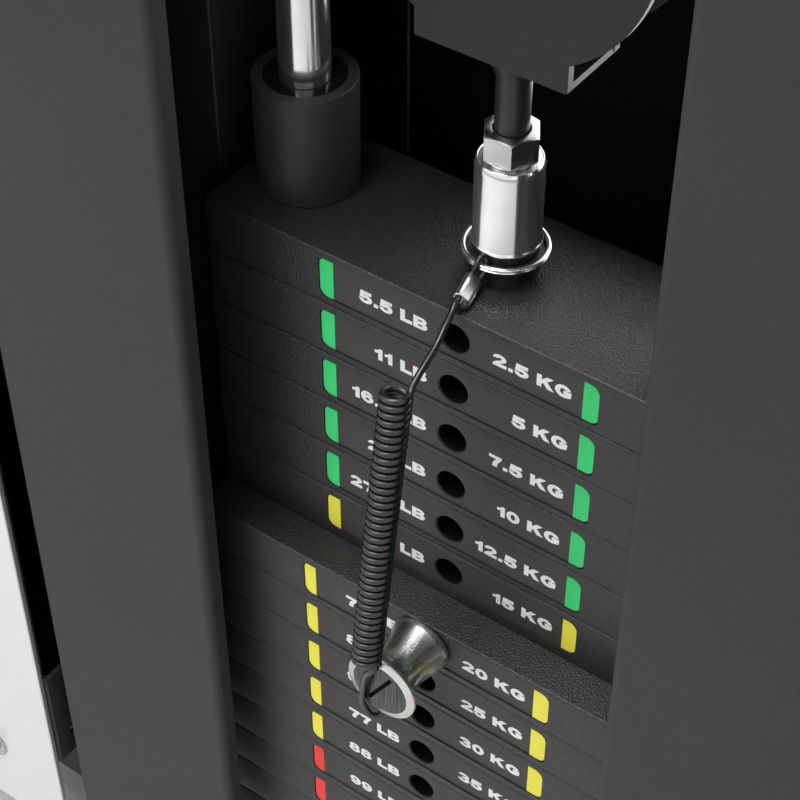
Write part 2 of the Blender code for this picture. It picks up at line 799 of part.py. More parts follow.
def lanyard():
    """The curly lanyard as one unbroken tube, from the ferrule to the knob."""
    curls = coil_points()
    down = (FERRULE_LOW - FERRULE_TOP).normalized()
    first = FERRULE_LOW + down * CLEAR
    lead = [first, first + down * CORD_D,
            along_front(0.0010, -0.0030, 0.0196), along_front(0.0025, -0.0110, 0.0166),
            along_front(0.0037, -0.0190, 0.0126), along_front(0.0044, -0.0265, 0.0098),
            along_front(0.0048, -0.0335, 0.0070), along_front(0.0052, -0.0394, 0.0040)]
    tail = [above_pin(0.0034, -0.0680, 0.0273), above_pin(0.0002, -0.0678, 0.0222),
            above_pin(-0.0028, -0.0665, 0.0172), above_pin(-0.0066, -0.0635, 0.0059),
            above_pin(-0.0089, -0.0617, -0.0052), above_pin(-0.0101, -0.0603, -0.0158),
            above_pin(-0.0089, -0.0590, -0.0226), above_pin(-0.0065, -0.0583, -0.0268),
            above_pin(-0.0035, -0.0545, -0.0288),
            Vector((-0.0018, KNOB_ENTRY.y - 0.0065, KNOB_ENTRY.z - 0.0105)),
            Vector((-0.0010, KNOB_ENTRY.y - 0.0015, KNOB_ENTRY.z - 0.0085)),
            KNOB_ENTRY - Vector((0, 0, CORD_D)), KNOB_ENTRY]
    head = smooth_route(lead + curls[:2], 0.0055)[:-1]
    foot = smooth_route(curls[-2:] + tail, 0.0045)
    foot = [p for p in foot if (p - curls[-1]).length > 0.002]
    points = head + curls[1:] + foot[1:]
    points = [p for i, p in enumerate(points) if i == 0 or (p - points[i - 1]).length > 0.0008]
    tube("lanyard", points, CORD_D / 2, cord_black(), 1)
    print("lanyard least gap to itself, mm:", round(least_gap(points) * 1000, 3))
    length = sum((b - a).length for a, b in zip(points, points[1:]))
    print("lanyard length, mm:", round(length * 1000, 1), "points:", len(points))


def least_gap(points):
    """The least gap between stretches of a cord that aren't neighbours, measured on points."""
    fine = []
    for a, b in zip(points, points[1:]):
        fine += [a.lerp(b, k / 4) for k in range(4)]
    apart = 24
    least = 1.0
    for i in range(len(fine)):
        for j in range(i + apart, min(len(fine), i + 400)):
            least = min(least, (fine[i] - fine[j]).length)
    return least - CORD_D


def ferrule():
    """The oval crimp that closes the lanyard's eye round the ring. Its second barrel lies low on the right."""
    axis = (FERRULE_LOW - FERRULE_TOP).normalized()
    length = (FERRULE_LOW - FERRULE_TOP).length
    side = Vector((0, 0, 1)).cross(axis).normalized()
    side.rotate(Quaternion(axis, math.radians(-FERRULE_ROLL)))
    lift = side.cross(axis).normalized()
    barrel = FERRULE_BARREL_R
    half = FERRULE_BARREL_APART / 2
    bm = bmesh.new()
    outline = arc((half, 0), barrel, -90, 90, 6) + arc((-half, 0), barrel, 90, 270, 6)
    rings = []
    for share in (0, 1):
        centre = FERRULE_TOP + axis * length * share + side * half
        rings.append([bm.verts.new(centre + side * a + lift * b) for a, b in outline])
    bm.faces.new(rings[0])
    bm.faces.new(rings[1])
    count = len(outline)
    for i in range(count):
        bm.faces.new((rings[0][i], rings[0][(i + 1) % count], rings[1][(i + 1) % count], rings[1][i]))
    finish(bpy.data.objects.new("ferrule", mesh_from(bm, "ferrule")), steel(), False)


def frame_pieces():
    """Feet, base, uprights, top frame and the plate that holds the rods."""
    left_foot = (FRAME_LEFT, FRAME_LEFT + FOOT_W)
    right_foot = (FRAME_RIGHT - RIGHT_FOOT_W, FRAME_RIGHT)
    half = FOOT_LEN / 2
    seat = FOOT_H - CLEAR
    for label, (low, high) in (("left", left_foot), ("right", right_foot)):
        block(f"foot_rail_{label}", (low, -half, 0), (high, half, seat), frame_black(), FOOT_BEVEL)
    slot = RAIL_SLOT / 2
    outline = [(-RAIL_OUT, 0), (RAIL_OUT, 0), (RAIL_OUT, seat), (slot, seat), (slot, PAD_FLOOR),
               (-slot, PAD_FLOOR), (-slot, seat), (-RAIL_OUT, seat)]
    prism("centre_foot", outline, -PAD_LEN / 2, PAD_LEN / 2, rubber(), axis=0)

    base = rail_pair("base", FRAME_LEFT, FRAME_RIGHT, FOOT_H, RAIL_H)
    half = UPRIGHT_X - 0.008
    depth = RAIL_OUT - 0.001
    high = RAIL_TOP + BASE_PLATE_T
    plate = block("rod_base_plate", (-half, -depth, RAIL_TOP - 0.001), (half, depth, high), frame_black())
    join(base, plate)
    for x in (OUTER_TURN_X, COLUMN_LOW_X):
        join(base, axle_bar(f"base_axle_{x:.2f}", x, BASE_AXLE_Z))
    join(base, column_plate("column_foot_plate", RAIL_TOP - 0.001, RAIL_TOP + COLUMN_PLATE_T))
    rod_holes(base, RAIL_TOP - 0.002, BASE_PLATE_T + 0.004)

    top = rail_pair("top", TOP_LEFT, TOP_RIGHT, TOP_RAIL_Z, TOP_RAIL_H)
    for x, height in ((COLUMN_TOP_X, TOP_AXLE_Z), (-TOP_TURN_X, TOP_AXLE_Z), (TOP_TURN_X, TOP_AXLE_Z),
                      (OUTER_TURN_X, OUTER_AXLE_Z)):
        join(top, axle_bar(f"top_axle_{x:.2f}", x, height))
    join(top, column_plate("column_head_plate", TOP_RAIL_Z - COLUMN_PLATE_T, TOP_RAIL_Z + 0.001))

    for side, label in ((-1, "left"), (1, "right")):
        low_x, high_x = sorted((side * UPRIGHT_X, side * UPRIGHT_OUT_X))
        hollow_bar(f"upright_{label}", (low_x, UPRIGHT_FRONT, RAIL_TOP + CLEAR),
                   (high_x, UPRIGHT_FRONT + UPRIGHT_DEPTH, TOP_RAIL_Z - CLEAR), 2)

    half = UPRIGHT_X - CLEAR
    low_y = -ROD_PLATE_DEPTH / 2
    plate = block("rod_top_plate", (-half, low_y, ROD_PLATE_Z), (half, -low_y, ROD_PLATE_Z + BASE_PLATE_T),
                  frame_black())
    rod_holes(plate, ROD_PLATE_Z - 0.001, BASE_PLATE_T + 0.002)
    for side in (-1, 1):
        start = (side * STRAND_X, 0, ROD_PLATE_Z - 0.001)
        bore(plate, f"strand_hole_{side}", STRAND_HOLE_R, start, (0, 0, 1), BASE_PLATE_T + 0.002)


def rail_pair(label, left, right, low, height):
    """Two parallel steel tubes with the cable's slot between them."""
    slot = RAIL_SLOT / 2
    front = hollow_bar(label + "_frame", (left, -RAIL_OUT, low), (right, -slot, low + height), 0)
    join(front, hollow_bar(label + "_rear_rail", (left, slot, low), (right, RAIL_OUT, low + height), 0))
    return front


def hollow_bar(name, low, high, axis, wall=RAIL_WALL):
    """A rectangular steel tube, open along one axis."""
    body = block(name, low, high, frame_black())
    inner_low = [value + wall for value in low]
    inner_high = [value - wall for value in high]
    inner_low[axis] = low[axis] - 0.001
    inner_high[axis] = high[axis] + 0.001
    cut(body, block(name + "_inside", inner_low, inner_high, dark_steel()))
    return body


def axle_bar(name, x, height):
    """A pulley axle between the two rails, set into their inner walls."""
    reach = RAIL_SLOT / 2 + 0.0015
    return bar(name, AXLE_D / 2, (x, -reach, height), (0, 1, 0), 2 * reach)


def column_plate(name, low, high):
    """The plate on the rear rail that the column is bolted to."""
    half = COLUMN_PLATE_W / 2
    front = RAIL_SLOT / 2 + 0.001
    back = COLUMN_FRONT + COLUMN_W + 0.006
    return block(name, (COLUMN_X - half, front, low), (COLUMN_X + half, back, high), frame_black())


def rod_holes(plate, low, length):
    """The two holes that hold the guide rods."""
    for side in (-1, 1):
        start = (side * ROD_X, 0, low)
        bore(plate, f"{plate.name}_rod_hole_{side}", ROD_D / 2 + CLEAR, start, (0, 0, 1), length)


def shroud_path(side):
    """The bent outline of a shroud from its front return to the rear edge of its outer side."""
    r = SHROUD_CORNER
    front = SHROUD_FRONT
    path = [(-SHROUD_IN_X, front + SHROUD_RETURN)]
    path += arc((-SHROUD_IN_X - r, front + r), r, 0, -90, 4)
    path += arc((-SHROUD_OUT_X + r, front + r), r, 270, 180, 4)
    path += [(-SHROUD_OUT_X, SHROUD_BACK)]
    return path if side < 0 else [(-x, y) for x, y in path]


def covers():
    """Shrouds beside the stack, rear cover, white fascia and its bracket."""
    low = RAIL_TOP + CLEAR
    high = TOP_RAIL_Z - CLEAR
    for side, label in ((-1, "left"), (1, "right")):
        outline = sheet_outline(shroud_path(side), side * SHROUD_T)
        prism(f"shroud_{label}", outline, low, high, shroud_grey())
    back = SHROUD_BACK + CLEAR
    block("rear_cover", (-SHROUD_OUT_X, back, low), (SHROUD_OUT_X, back + SHROUD_T, high), frame_black())
    left = FASCIA_RIGHT - FASCIA_W
    front = FASCIA_FRONT - FASCIA_T
    block("fascia", (left, front, FASCIA_LOW), (FASCIA_RIGHT, FASCIA_FRONT, high), white_gloss(), 0.001)
    fascia_bracket()


def fascia_bracket():
    """The strip behind the fascia, with tabs that reach back to the side of the left shroud."""
    wall_x = -SHROUD_OUT_X - CLEAR
    tab_x = FASCIA_RIGHT + BRACKET_OUT
    front = FASCIA_FRONT + CLEAR
    bend = front + BRACKET_DEPTH
    seat = bend + wall_x - tab_x
    path = [(tab_x - BRACKET_STRIP_W, front), (tab_x, front), (tab_x, bend), (wall_x, seat),
            (wall_x, seat + BRACKET_FLANGE)]
    outline = sheet_outline(path, BRACKET_T)
    strip_right = tab_x - 2 * BRACKET_T
    bracket = block("fascia_bracket", (strip_right - BRACKET_STRIP_W, front, BRACKET_LOW),
                    (strip_right, front + BRACKET_T, BRACKET_HIGH + BRACKET_H), frame_black())
    for i in range(BRACKET_TABS):
        height = BRACKET_LOW + (BRACKET_HIGH - BRACKET_LOW) * i / (BRACKET_TABS - 1)
        join(bracket, prism(f"bracket_tab_{i}", outline, height, height + BRACKET_H, frame_black()))
        start = (tab_x - 2 * BRACKET_T, front + BRACKET_DEPTH / 2, height + BRACKET_H / 4)
        bore(bracket, f"bracket_hole_{i}", BRACKET_HOLE_R, start, (1, 0, 0), 4 * BRACKET_T, 10)


def column():
    """The column that the carriage rides on, with a row of locking holes in its left side."""
    half = COLUMN_W / 2
    low = (COLUMN_X - half, COLUMN_FRONT, RAIL_TOP + COLUMN_PLATE_T + CLEAR)
    high = (COLUMN_X + half, COLUMN_FRONT + COLUMN_W, TOP_RAIL_Z - COLUMN_PLATE_T - CLEAR)
    body = hollow_bar("column", low, high, 2, COLUMN_WALL)
    for i in range(COLUMN_HOLES):
        start = (low[0] - 0.002, COLUMN_FRONT + half, COLUMN_HOLE_LOW + i * COLUMN_HOLE_STEP)
        bore(body, f"column_hole_{i}", COLUMN_HOLE_D / 2, start, (1, 0, 0), COLUMN_WALL + 0.004, 6)


def pulley(name, place, turn_r, lip, axle, axis=(0, 1, 0), hub=PULLEY_HUB_W, rim=PULLEY_RIM_W, steps=14):
    """A grooved pulley on an axle, with its cable running at turn_r from its axis."""
    floor = turn_r - CABLE_D / 2 - GROOVE_CLEAR
    outer = turn_r + lip
    half = rim / 2
    inner = around(axle + CLEAR, steps)
    boss = axle + PULLEY_BOSS_WALL
    upper = [(inner, hub / 2), (boss, hub / 2), (outer, half), (floor, GROOVE_FLOOR_W / 2)]
    outline = [(r, -z) for r, z in upper] + [(r, z) for r, z in upper[::-1]]
    return turned(name, outline, nylon(), place, axis, steps)


def pulleys():
    """All pulleys, each with its origin on its axle."""
    axle = AXLE_D / 2
    pulley("column_top_pulley", (COLUMN_TOP_X, 0, TOP_AXLE_Z), TURN_R, PULLEY_LIP, axle)
    pulley("top_left_pulley", (-TOP_TURN_X, 0, TOP_AXLE_Z), TURN_R, PULLEY_LIP, axle)
    pulley("top_right_pulley", (TOP_TURN_X, 0, TOP_AXLE_Z), TURN_R, PULLEY_LIP, axle)
    pulley("outer_right_pulley", (OUTER_TURN_X, 0, OUTER_AXLE_Z), SMALL_TURN_R, SMALL_PULLEY_LIP, axle)
    pulley("base_right_pulley", (OUTER_TURN_X, 0, BASE_AXLE_Z), SMALL_TURN_R, SMALL_PULLEY_LIP, axle)
    pulley("column_base_pulley", (COLUMN_LOW_X, 0, BASE_AXLE_Z), SMALL_TURN_R, SMALL_PULLEY_LIP, axle)
    pulley("floating_pulley", (0, 0, YOKE_AXLE_Z), FLOAT_R, PULLEY_LIP, FLOAT_AXLE_D / 2, hub=FLOAT_HUB_W,
           rim=FLOAT_RIM_W, steps=20)
    pulley("swivel_pulley", (COLUMN_X, SWIVEL_Y, CARRIAGE_Z), SMALL_TURN_R, SMALL_PULLEY_LIP, SWIVEL_AXLE_R,
           (1, 0, 0), hub=CHEEK_GAP - 2 * CLEAR, rim=SWIVEL_RIM_W)


def wrap(centre, radius, start, end, y=0.0):
    """Cable points round a pulley in the X-Z plane, close enough to keep clear of the groove's floor."""
    turn = 2 * math.degrees(math.acos(1 - GROOVE_CLEAR / radius))
    steps = math.ceil(abs(end - start) / turn)
    return [(x, y, z) for x, z in arc(centre, radius, start, end, steps)]


def cable():
    """The drive cable in one piece, from the stop ball to its anchor under the carriage."""
    points = [(COLUMN_X, NOSE_Y, HANDLE_RUN_Z)]
    for y, z in arc((SWIVEL_Y, CARRIAGE_Z), SMALL_TURN_R, -90, 0, 5):
        points.append((COLUMN_X, y, z))
    points += wrap((COLUMN_TOP_X, TOP_AXLE_Z), TURN_R, 180, 90)
    points += wrap((-TOP_TURN_X, TOP_AXLE_Z), TURN_R, 90, 0)
    points += wrap((0, YOKE_AXLE_Z), FLOAT_R, 180, 360)
    points += wrap((TOP_TURN_X, TOP_AXLE_Z), TURN_R, 180, 90)
    points += wrap((OUTER_TURN_X, OUTER_AXLE_Z), SMALL_TURN_R, 90, 0)
    points += wrap((OUTER_TURN_X, BASE_AXLE_Z), SMALL_TURN_R, 0, -90)
    points += wrap((COLUMN_LOW_X, BASE_AXLE_Z), SMALL_TURN_R, -90, -180)
    points.append((COLUMN_X, 0, CARRIAGE_Z - CARRIAGE_DOWN - CLEAR))
    tube("cable", points, CABLE_D / 2, cord_black(), 1)


def carriage():
    """The sleeve on the column with its two lugs and the boss of the pop pin."""
    half = COLUMN_W / 2 + SLIDE_CLEAR + CARRIAGE_WALL
    front = COLUMN_FRONT - SLIDE_CLEAR - CARRIAGE_WALL
    back = COLUMN_FRONT + COLUMN_W + SLIDE_CLEAR + CARRIAGE_WALL
    low = CARRIAGE_Z - CARRIAGE_DOWN
    high = CARRIAGE_Z + CARRIAGE_UP
    body = block("carriage", (COLUMN_X - half, front, low), (COLUMN_X + half, back, high), frame_black())
    inner = COLUMN_W / 2 + SLIDE_CLEAR
    inside = block("carriage_inside", (COLUMN_X - inner, COLUMN_FRONT - SLIDE_CLEAR, low - 0.001),
                   (COLUMN_X + inner, COLUMN_FRONT + COLUMN_W + SLIDE_CLEAR, high + 0.001), dark_steel())
    cut(body, inside)
    for name, bottom, top in (("top_lug", TOP_LUG_Z, TOP_LUG_Z + LUG_T), ("low_lug", low, LOW_LUG_Z)):
        outline = [(COLUMN_X + LUG_W / 2, front + 0.001)]
        outline += arc((COLUMN_X, 0), LUG_W / 2, 0, -180, 10)
        outline += [(COLUMN_X - LUG_W / 2, front + 0.001)]
        join(body, prism(name, outline, bottom, top, frame_black()))
    spigot = SPIGOT_R + CLEAR
    bore(body, "top_lug_bore", spigot, (COLUMN_X, 0, TOP_LUG_Z - 0.001), (0, 0, 1), LUG_T + 0.002)
    bore(body, "low_lug_bore", spigot, (COLUMN_X, 0, low + ANCHOR_T / 2), (0, 0, 1), ANCHOR_T)
    wall = COLUMN_X - half
    middle = COLUMN_FRONT + COLUMN_W / 2
    start = (wall + 0.001, middle, CARRIAGE_Z)
    join(body, bar("pop_boss", POP_BOSS_R, start, (-1, 0, 0), POP_BOSS_LEN + 0.001))
    start = (wall - POP_BOSS_LEN - 0.001, middle, CARRIAGE_Z)
    bore(body, "pop_bore", POP_PIN_R + CLEAR, start, (1, 0, 0), POP_BOSS_LEN + CARRIAGE_WALL + 0.002)


def pop_pin():
    """The pin that locks the carriage, drawn to its parked place. Its own +Z points left."""
    middle = COLUMN_FRONT + COLUMN_W / 2
    tip = COLUMN_W / 2 - POP_REACH + POP_TRAVEL
    base = COLUMN_W / 2 + SLIDE_CLEAR + CARRIAGE_WALL + POP_BOSS_LEN + CLEAR + POP_TRAVEL
    end = base + POP_KNOB_LEN
    outline = [(0, tip), (POP_PIN_R - 0.0015, tip), (POP_PIN_R, tip + 0.003),
               (POP_PIN_R, base), (POP_KNOB_R - 0.003, base), (POP_KNOB_R, base + 0.003),
               (POP_KNOB_R, end - 0.004), (POP_KNOB_R - 0.004, end), (0, end)]
    turned("pop_pin", outline, nylon(), (COLUMN_X, middle, CARRIAGE_Z), (-1, 0, 0), 14)


def swivel_yoke():
    """The yoke that turns about the cable's upright leg and carries the swivel pulley."""
    top = TOP_LUG_Z - CLEAR
    low = LOW_LUG_Z + CLEAR
    plate = SWIVEL_DISC_T
    half = CHEEK_GAP / 2
    body = bar("swivel_yoke", SWIVEL_DISC_R, (COLUMN_X, 0, top - plate), (0, 0, 1), plate)
    join(body, bar("yoke_low_disc", SWIVEL_DISC_R, (COLUMN_X, 0, low), (0, 0, 1), plate))
    join(body, bar("yoke_spigot_up", SPIGOT_R, (COLUMN_X, 0, top - 0.001), (0, 0, 1), LUG_T, 12))
    join(body, bar("yoke_spigot_down", SPIGOT_R, (COLUMN_X, 0, low - 0.006), (0, 0, 1), 0.007, 12))
    nose_low = HANDLE_RUN_Z - NOSE_HALF_H
    back = 0.0065
    high_edge = top - plate + 0.001
    low_edge = low + plate - 0.001
    outline = [(back, high_edge), (-0.010, high_edge), (NOSE_Y + 0.012, CARRIAGE_Z + 0.028),
               (NOSE_Y, CARRIAGE_Z), (NOSE_Y, nose_low), (NOSE_Y + 0.010, low_edge), (back, low_edge)]
    for side in (-1, 1):
        near, far = sorted((COLUMN_X + side * half, COLUMN_X + side * (half + CHEEK_T)))
        join(body, prism(f"yoke_cheek_{side}", outline, near, far, dark_steel(), axis=0))
    wide = half + 0.001
    face = block("yoke_nose", (COLUMN_X - wide, NOSE_Y, nose_low),
                 (COLUMN_X + wide, NOSE_Y + NOSE_T, HANDLE_RUN_Z + NOSE_HALF_H), dark_steel())
    join(body, face)
    reach = half + CHEEK_T + 0.004
    join(body, bar("yoke_pulley_axle", SWIVEL_AXLE_R, (COLUMN_X - reach, SWIVEL_Y, CARRIAGE_Z), (1, 0, 0),
                   2 * reach, 10))
    passage = CABLE_D / 2 + CABLE_PASS_CLEAR
    start = (COLUMN_X, 0, top - plate - 0.001)
    bore(body, "yoke_cable_bore", passage, start, (0, 0, 1), plate + LUG_T + 0.002, 8)
    start = (COLUMN_X, NOSE_Y - 0.001, HANDLE_RUN_Z)
    bore(body, "yoke_nose_bore", passage, start, (0, 1, 0), NOSE_T + 0.002, 8)


def handle():
    """Stop ball, snap hook, stirrup bail and its turning grip."""
    half = BALL_R * math.sin(math.radians(BALL_CUT))
    back = -NOSE_Y + CLEAR
    middle = back + half
    neck_end = middle + BALL_R + BALL_NECK_LEN
    outline = [(0, back)] + arc((0, middle), BALL_R, -BALL_CUT, BALL_CUT, 6)
    outline += [(BALL_NECK_R, middle + half + 0.001), (BALL_NECK_R, neck_end), (0, neck_end)]
    place = (COLUMN_X, 0, HANDLE_RUN_Z)
    ball = turned("stop_ball", outline, rubber(), place, (0, -1, 0), 14)
    eye_y = -(neck_end + EYE_R)
    join(ball, eye("ball_eye", (COLUMN_X, eye_y, HANDLE_RUN_Z)))

    hook_top = HANDLE_RUN_Z - EYE_R + EYE_WIRE_R + HOOK_WIRE_R + CLEAR
    hook_low = hook_top - HOOK_H
    radius = HOOK_W / 2
    loop = arc((COLUMN_X, hook_top - radius), radius, 0, 180, 6)
    loop += arc((COLUMN_X, hook_low + radius), radius, 180, 360, 6)
    tube("snap_hook", [(x, eye_y, z) for x, z in loop], HOOK_WIRE_R, chrome(), 1, True)

    bail_eye_z = hook_low + HOOK_WIRE_R + CLEAR - (EYE_R - EYE_WIRE_R)
    bar_z = bail_eye_z - EYE_R - BAIL_NECK_LEN
    grip_z = bar_z - BAIL_H
    half = BAIL_W / 2
    turn_x = half - BAIL_BEND
    turn_z = bar_z - BAIL_BEND
    path = [(COLUMN_X - half, grip_z - BAIL_ROD_R)]
    path += arc((COLUMN_X - turn_x, turn_z), BAIL_BEND, 180, 90, 4)
    path += arc((COLUMN_X + turn_x, turn_z), BAIL_BEND, 90, 0, 4)
    path += [(COLUMN_X + half, grip_z - BAIL_ROD_R)]
    bail = settle_curve(tube("handle_bail", [(x, eye_y, z) for x, z in path], BAIL_ROD_R, chrome(), 1))
    join(bail, bar("bail_neck", BAIL_NECK_R, (COLUMN_X, eye_y, bar_z), (0, 0, 1), BAIL_NECK_LEN, 10))
    join(bail, eye("bail_eye", (COLUMN_X, eye_y, bail_eye_z)))
    reach = half + 0.003
    join(bail, bar("grip_rod", GRIP_ROD_R, (COLUMN_X - reach, eye_y, grip_z), (1, 0, 0), 2 * reach, 10))

    inner = around(GRIP_ROD_R + CLEAR, GRIP_STEPS)
    end = GRIP_LEN / 2
    outline = [(inner, -end), (GRIP_R - 0.003, -end), (GRIP_R, 0.004 - end), (GRIP_R + 0.001, 0),
               (GRIP_R, end - 0.004), (GRIP_R - 0.003, end), (inner, end)]
    turned("handle_grip", outline, rubber(), (COLUMN_X, eye_y, grip_z), (1, 0, 0), GRIP_STEPS)


def eye(name, place):
    """A small ring whose hole faces along X."""
    outline = arc((EYE_R, 0), EYE_WIRE_R, 0, 360, 6)[:-1]
    return turned(name, outline, steel(), place, (1, 0, 0), 12)


def main():
    clear_scene()
    weight_plates()
    stack_head()
    pulley_yoke()
    guide_sleeves()
    guide_rods()
    selector_pin()
    lanyard_ring()
    lanyard()
    ferrule()
    frame_pieces()
    covers()
    column()
    pulleys()
    cable()
    carriage()
    pop_pin()
    swivel_yoke()
    handle()


main()
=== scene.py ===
"""Looks of the cable machine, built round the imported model. Metres, +Z up, the plates' numbers face -Y."""
import math

import bmesh
import bpy
from mathutils import Matrix, Quaternion, Vector
from mathutils.geometry import tessellate_polygon


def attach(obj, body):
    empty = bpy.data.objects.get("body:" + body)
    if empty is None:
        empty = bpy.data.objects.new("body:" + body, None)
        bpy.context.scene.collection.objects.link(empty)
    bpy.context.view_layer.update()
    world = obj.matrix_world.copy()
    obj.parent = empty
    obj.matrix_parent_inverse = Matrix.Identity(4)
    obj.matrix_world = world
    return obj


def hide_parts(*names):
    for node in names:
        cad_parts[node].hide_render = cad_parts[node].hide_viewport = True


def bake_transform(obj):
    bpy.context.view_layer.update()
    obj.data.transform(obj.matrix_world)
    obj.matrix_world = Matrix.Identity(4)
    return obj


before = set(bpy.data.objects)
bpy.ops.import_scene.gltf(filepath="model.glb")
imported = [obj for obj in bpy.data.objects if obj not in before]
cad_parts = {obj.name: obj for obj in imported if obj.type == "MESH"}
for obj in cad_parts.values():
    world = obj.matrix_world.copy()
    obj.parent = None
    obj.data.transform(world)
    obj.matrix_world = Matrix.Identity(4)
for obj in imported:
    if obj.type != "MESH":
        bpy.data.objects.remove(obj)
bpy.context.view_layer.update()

PI = math.pi
CLEAR = 0.0003
SMOOTH_ANGLE = 34
ROUTE_STEPS = 24
SIDES = ((-1, "left"), (1, "right"))

# Weight stack
PLATE_T = 0.0317
PLATE_W = 0.290
PITCH = 0.032
LIGHT_DEPTH = 0.083
HEAVY_DEPTH = 0.127
LIGHT_COUNT = 6
PLATE_COUNT = 15
PINNED_COUNT = 7
GREEN_COUNT = 5
YELLOW_LAST = 11
LAST_LIGHT_EXTRA = 0.0017
PLATE_BEVEL = 0.0010
ROD_X = 0.1135
ROD_D = 0.025
TOP_HOLE_Z = 0.63055
STACK_TOP = 0.6464
LIGHT_FRONT = -LIGHT_DEPTH / 2
HEAVY_FRONT = -HEAVY_DEPTH / 2
PIN_HOLE_D = 0.0155
PIN_REACH = 0.024
ROD_HOLE_R = 0.0146
SELECTOR_HOLE_R = 0.0125
LABEL_W = 0.153
LABEL_H = 0.0228
LABEL_RECESS = 0.0012
PIN_Z = 0.43685

# Head of the stack
BOSS_TOP = 0.6626
RING_Z = 0.6586
COLLAR_LOW = 0.6629
COLLAR_TOP = 0.7085
YOKE_LOW = 0.7674
YOKE_AXLE_Z = 0.8448
STEM_R = 0.0079

# Lanyard
CORD_D = 0.0033
COIL_D = 0.0158
COIL_CURLS = 39
CURL_POINTS = 16
KNOB_WAIST_R = 0.0132

# Frame, column and handle
RAIL_TOP = 0.100
TOP_RAIL_Z = 1.960
SHROUD_FRONT = -0.0915
SHROUD_IN_X = 0.1215
SHROUD_OUT_X = 0.257
SHROUD_T = 0.0025
UPRIGHT_X = 0.179
RAIL_Y = 0.030
FASCIA_X = -0.335
FASCIA_FRONT = -0.0965
COLUMN_X = -0.545
COLUMN_Y = 0.051
CARRIAGE_Z = 1.000
RUN_Z = 0.967
EYE_Y = -0.1220
EYE_R = 0.007
EYE_WIRE = 0.0025
HOOK_TOP = 0.9658
HOOK_LOW = 0.9058
BAIL_EYE_Z = 0.9046
BAR_Z = 0.8876
GRIP_Z = 0.7826
BALL_R = 0.018
HOOK_BEND_R = 0.012

# Drive cable: its radius, the radii it turns on, and the axles it passes, as (x, z)
CABLE_R = 0.0025
LARGE_R = 0.045
SMALL_R = 0.033
FLOAT_R = 0.057
COLUMN_TOP = (-0.500, 1.990)
TOP_LEFT = (-0.102, 1.990)
TOP_RIGHT = (0.102, 1.990)
OUTER_RIGHT = (0.196, 2.002)
BASE_RIGHT = (0.196, 0.062)
COLUMN_BASE = (-0.512, 0.062)


# Materials

class Look:
    """A Principled material, with textures in metres that vary its colour, gloss and relief."""

    def __init__(self, name, colour, roughness, metallic=0.0, **sockets):
        self.mat = bpy.data.materials.new(name)
        self.mat.use_nodes = True
        self.tree = self.mat.node_tree
        self.shader = self.tree.nodes["Principled BSDF"]
        self.shader.inputs["Base Color"].default_value = (*colour, 1)
        self.shader.inputs["Roughness"].default_value = roughness
        self.shader.inputs["Metallic"].default_value = metallic
        for socket, value in sockets.items():
            self.shader.inputs[socket.replace("_", " ")].default_value = value
        self.mat.diffuse_color = (*colour, 1)
        self.place = self.tree.nodes.new("ShaderNodeTexCoord").outputs["Object"]
        self.normal = None

    def node(self, kind, **values):
        node = self.tree.nodes.new(kind)
        for socket, value in values.items():
            node.inputs[socket.replace("_", " ")].default_value = value
        return node

    def stretched(self, stretch):
        """Object coordinates, scaled along the axes."""
        mapping = self.node("ShaderNodeMapping", Scale=stretch)
        self.tree.links.new(self.place, mapping.inputs["Vector"])
        return mapping.outputs["Vector"]

    def noise(self, scale, detail=3.0, stretch=None):
        node = self.node("ShaderNodeTexNoise", Scale=scale, Detail=detail, Roughness=0.55)
        source = self.stretched(stretch) if stretch else self.place
        self.tree.links.new(source, node.inputs["Vector"])
        return node.outputs["Fac"]

    def cells(self, scale, smoothness):
        node = self.node("ShaderNodeTexVoronoi", Scale=scale)
        node.feature = "SMOOTH_F1"
        node.inputs["Smoothness"].default_value = smoothness
        self.tree.links.new(self.place, node.inputs["Vector"])
        return node.outputs["Distance"]

    def remap(self, source, low, high, out_low, out_high):
        node = self.node("ShaderNodeMapRange", **{"From Min": low, "From Max": high, "To Min": out_low,
                                                  "To Max": out_high})
        self.tree.links.new(source, node.inputs["Value"])
        return node.outputs["Result"]

    def gloss(self, source, low, high):
        """Vary the roughness between two values with a texture."""
        self.tree.links.new(self.remap(source, 0.3, 0.7, low, high), self.shader.inputs["Roughness"])

    def shade(self, source, dark, light):
        """Vary the colour between two values with a texture."""
        node = self.tree.nodes.new("ShaderNodeMix")
        node.data_type = "RGBA"
        node.inputs[6].default_value = (*dark, 1)
        node.inputs[7].default_value = (*light, 1)
        self.tree.links.new(self.remap(source, 0.35, 0.65, 0, 1), node.inputs[0])
        self.tree.links.new(node.outputs[2], self.shader.inputs["Base Color"])

    def relief(self, source, distance, strength=1.0):
        """Raise the surface by a texture, on top of any relief before it."""
        node = self.node("ShaderNodeBump", Distance=distance, Strength=strength)
        self.tree.links.new(source, node.inputs["Height"])
        if self.normal:
            self.tree.links.new(self.normal, node.inputs["Normal"])
        self.normal = node.outputs["Normal"]
        self.tree.links.new(self.normal, self.shader.inputs["Normal"])


def coat(name, dark, light, rough_low, rough_high, grain, depth, patch=9.0, sheen=0.5):
    """A powder coat: fine grain, soft patches of colour and uneven gloss."""
    look = Look(name, light, rough_high, Specular_IOR_Level=sheen)
    look.shade(look.noise(patch, 4), dark, light)
    look.gloss(look.noise(grain * 0.35, 2), rough_low, rough_high)
    look.relief(look.noise(grain, 2), depth)
    return look


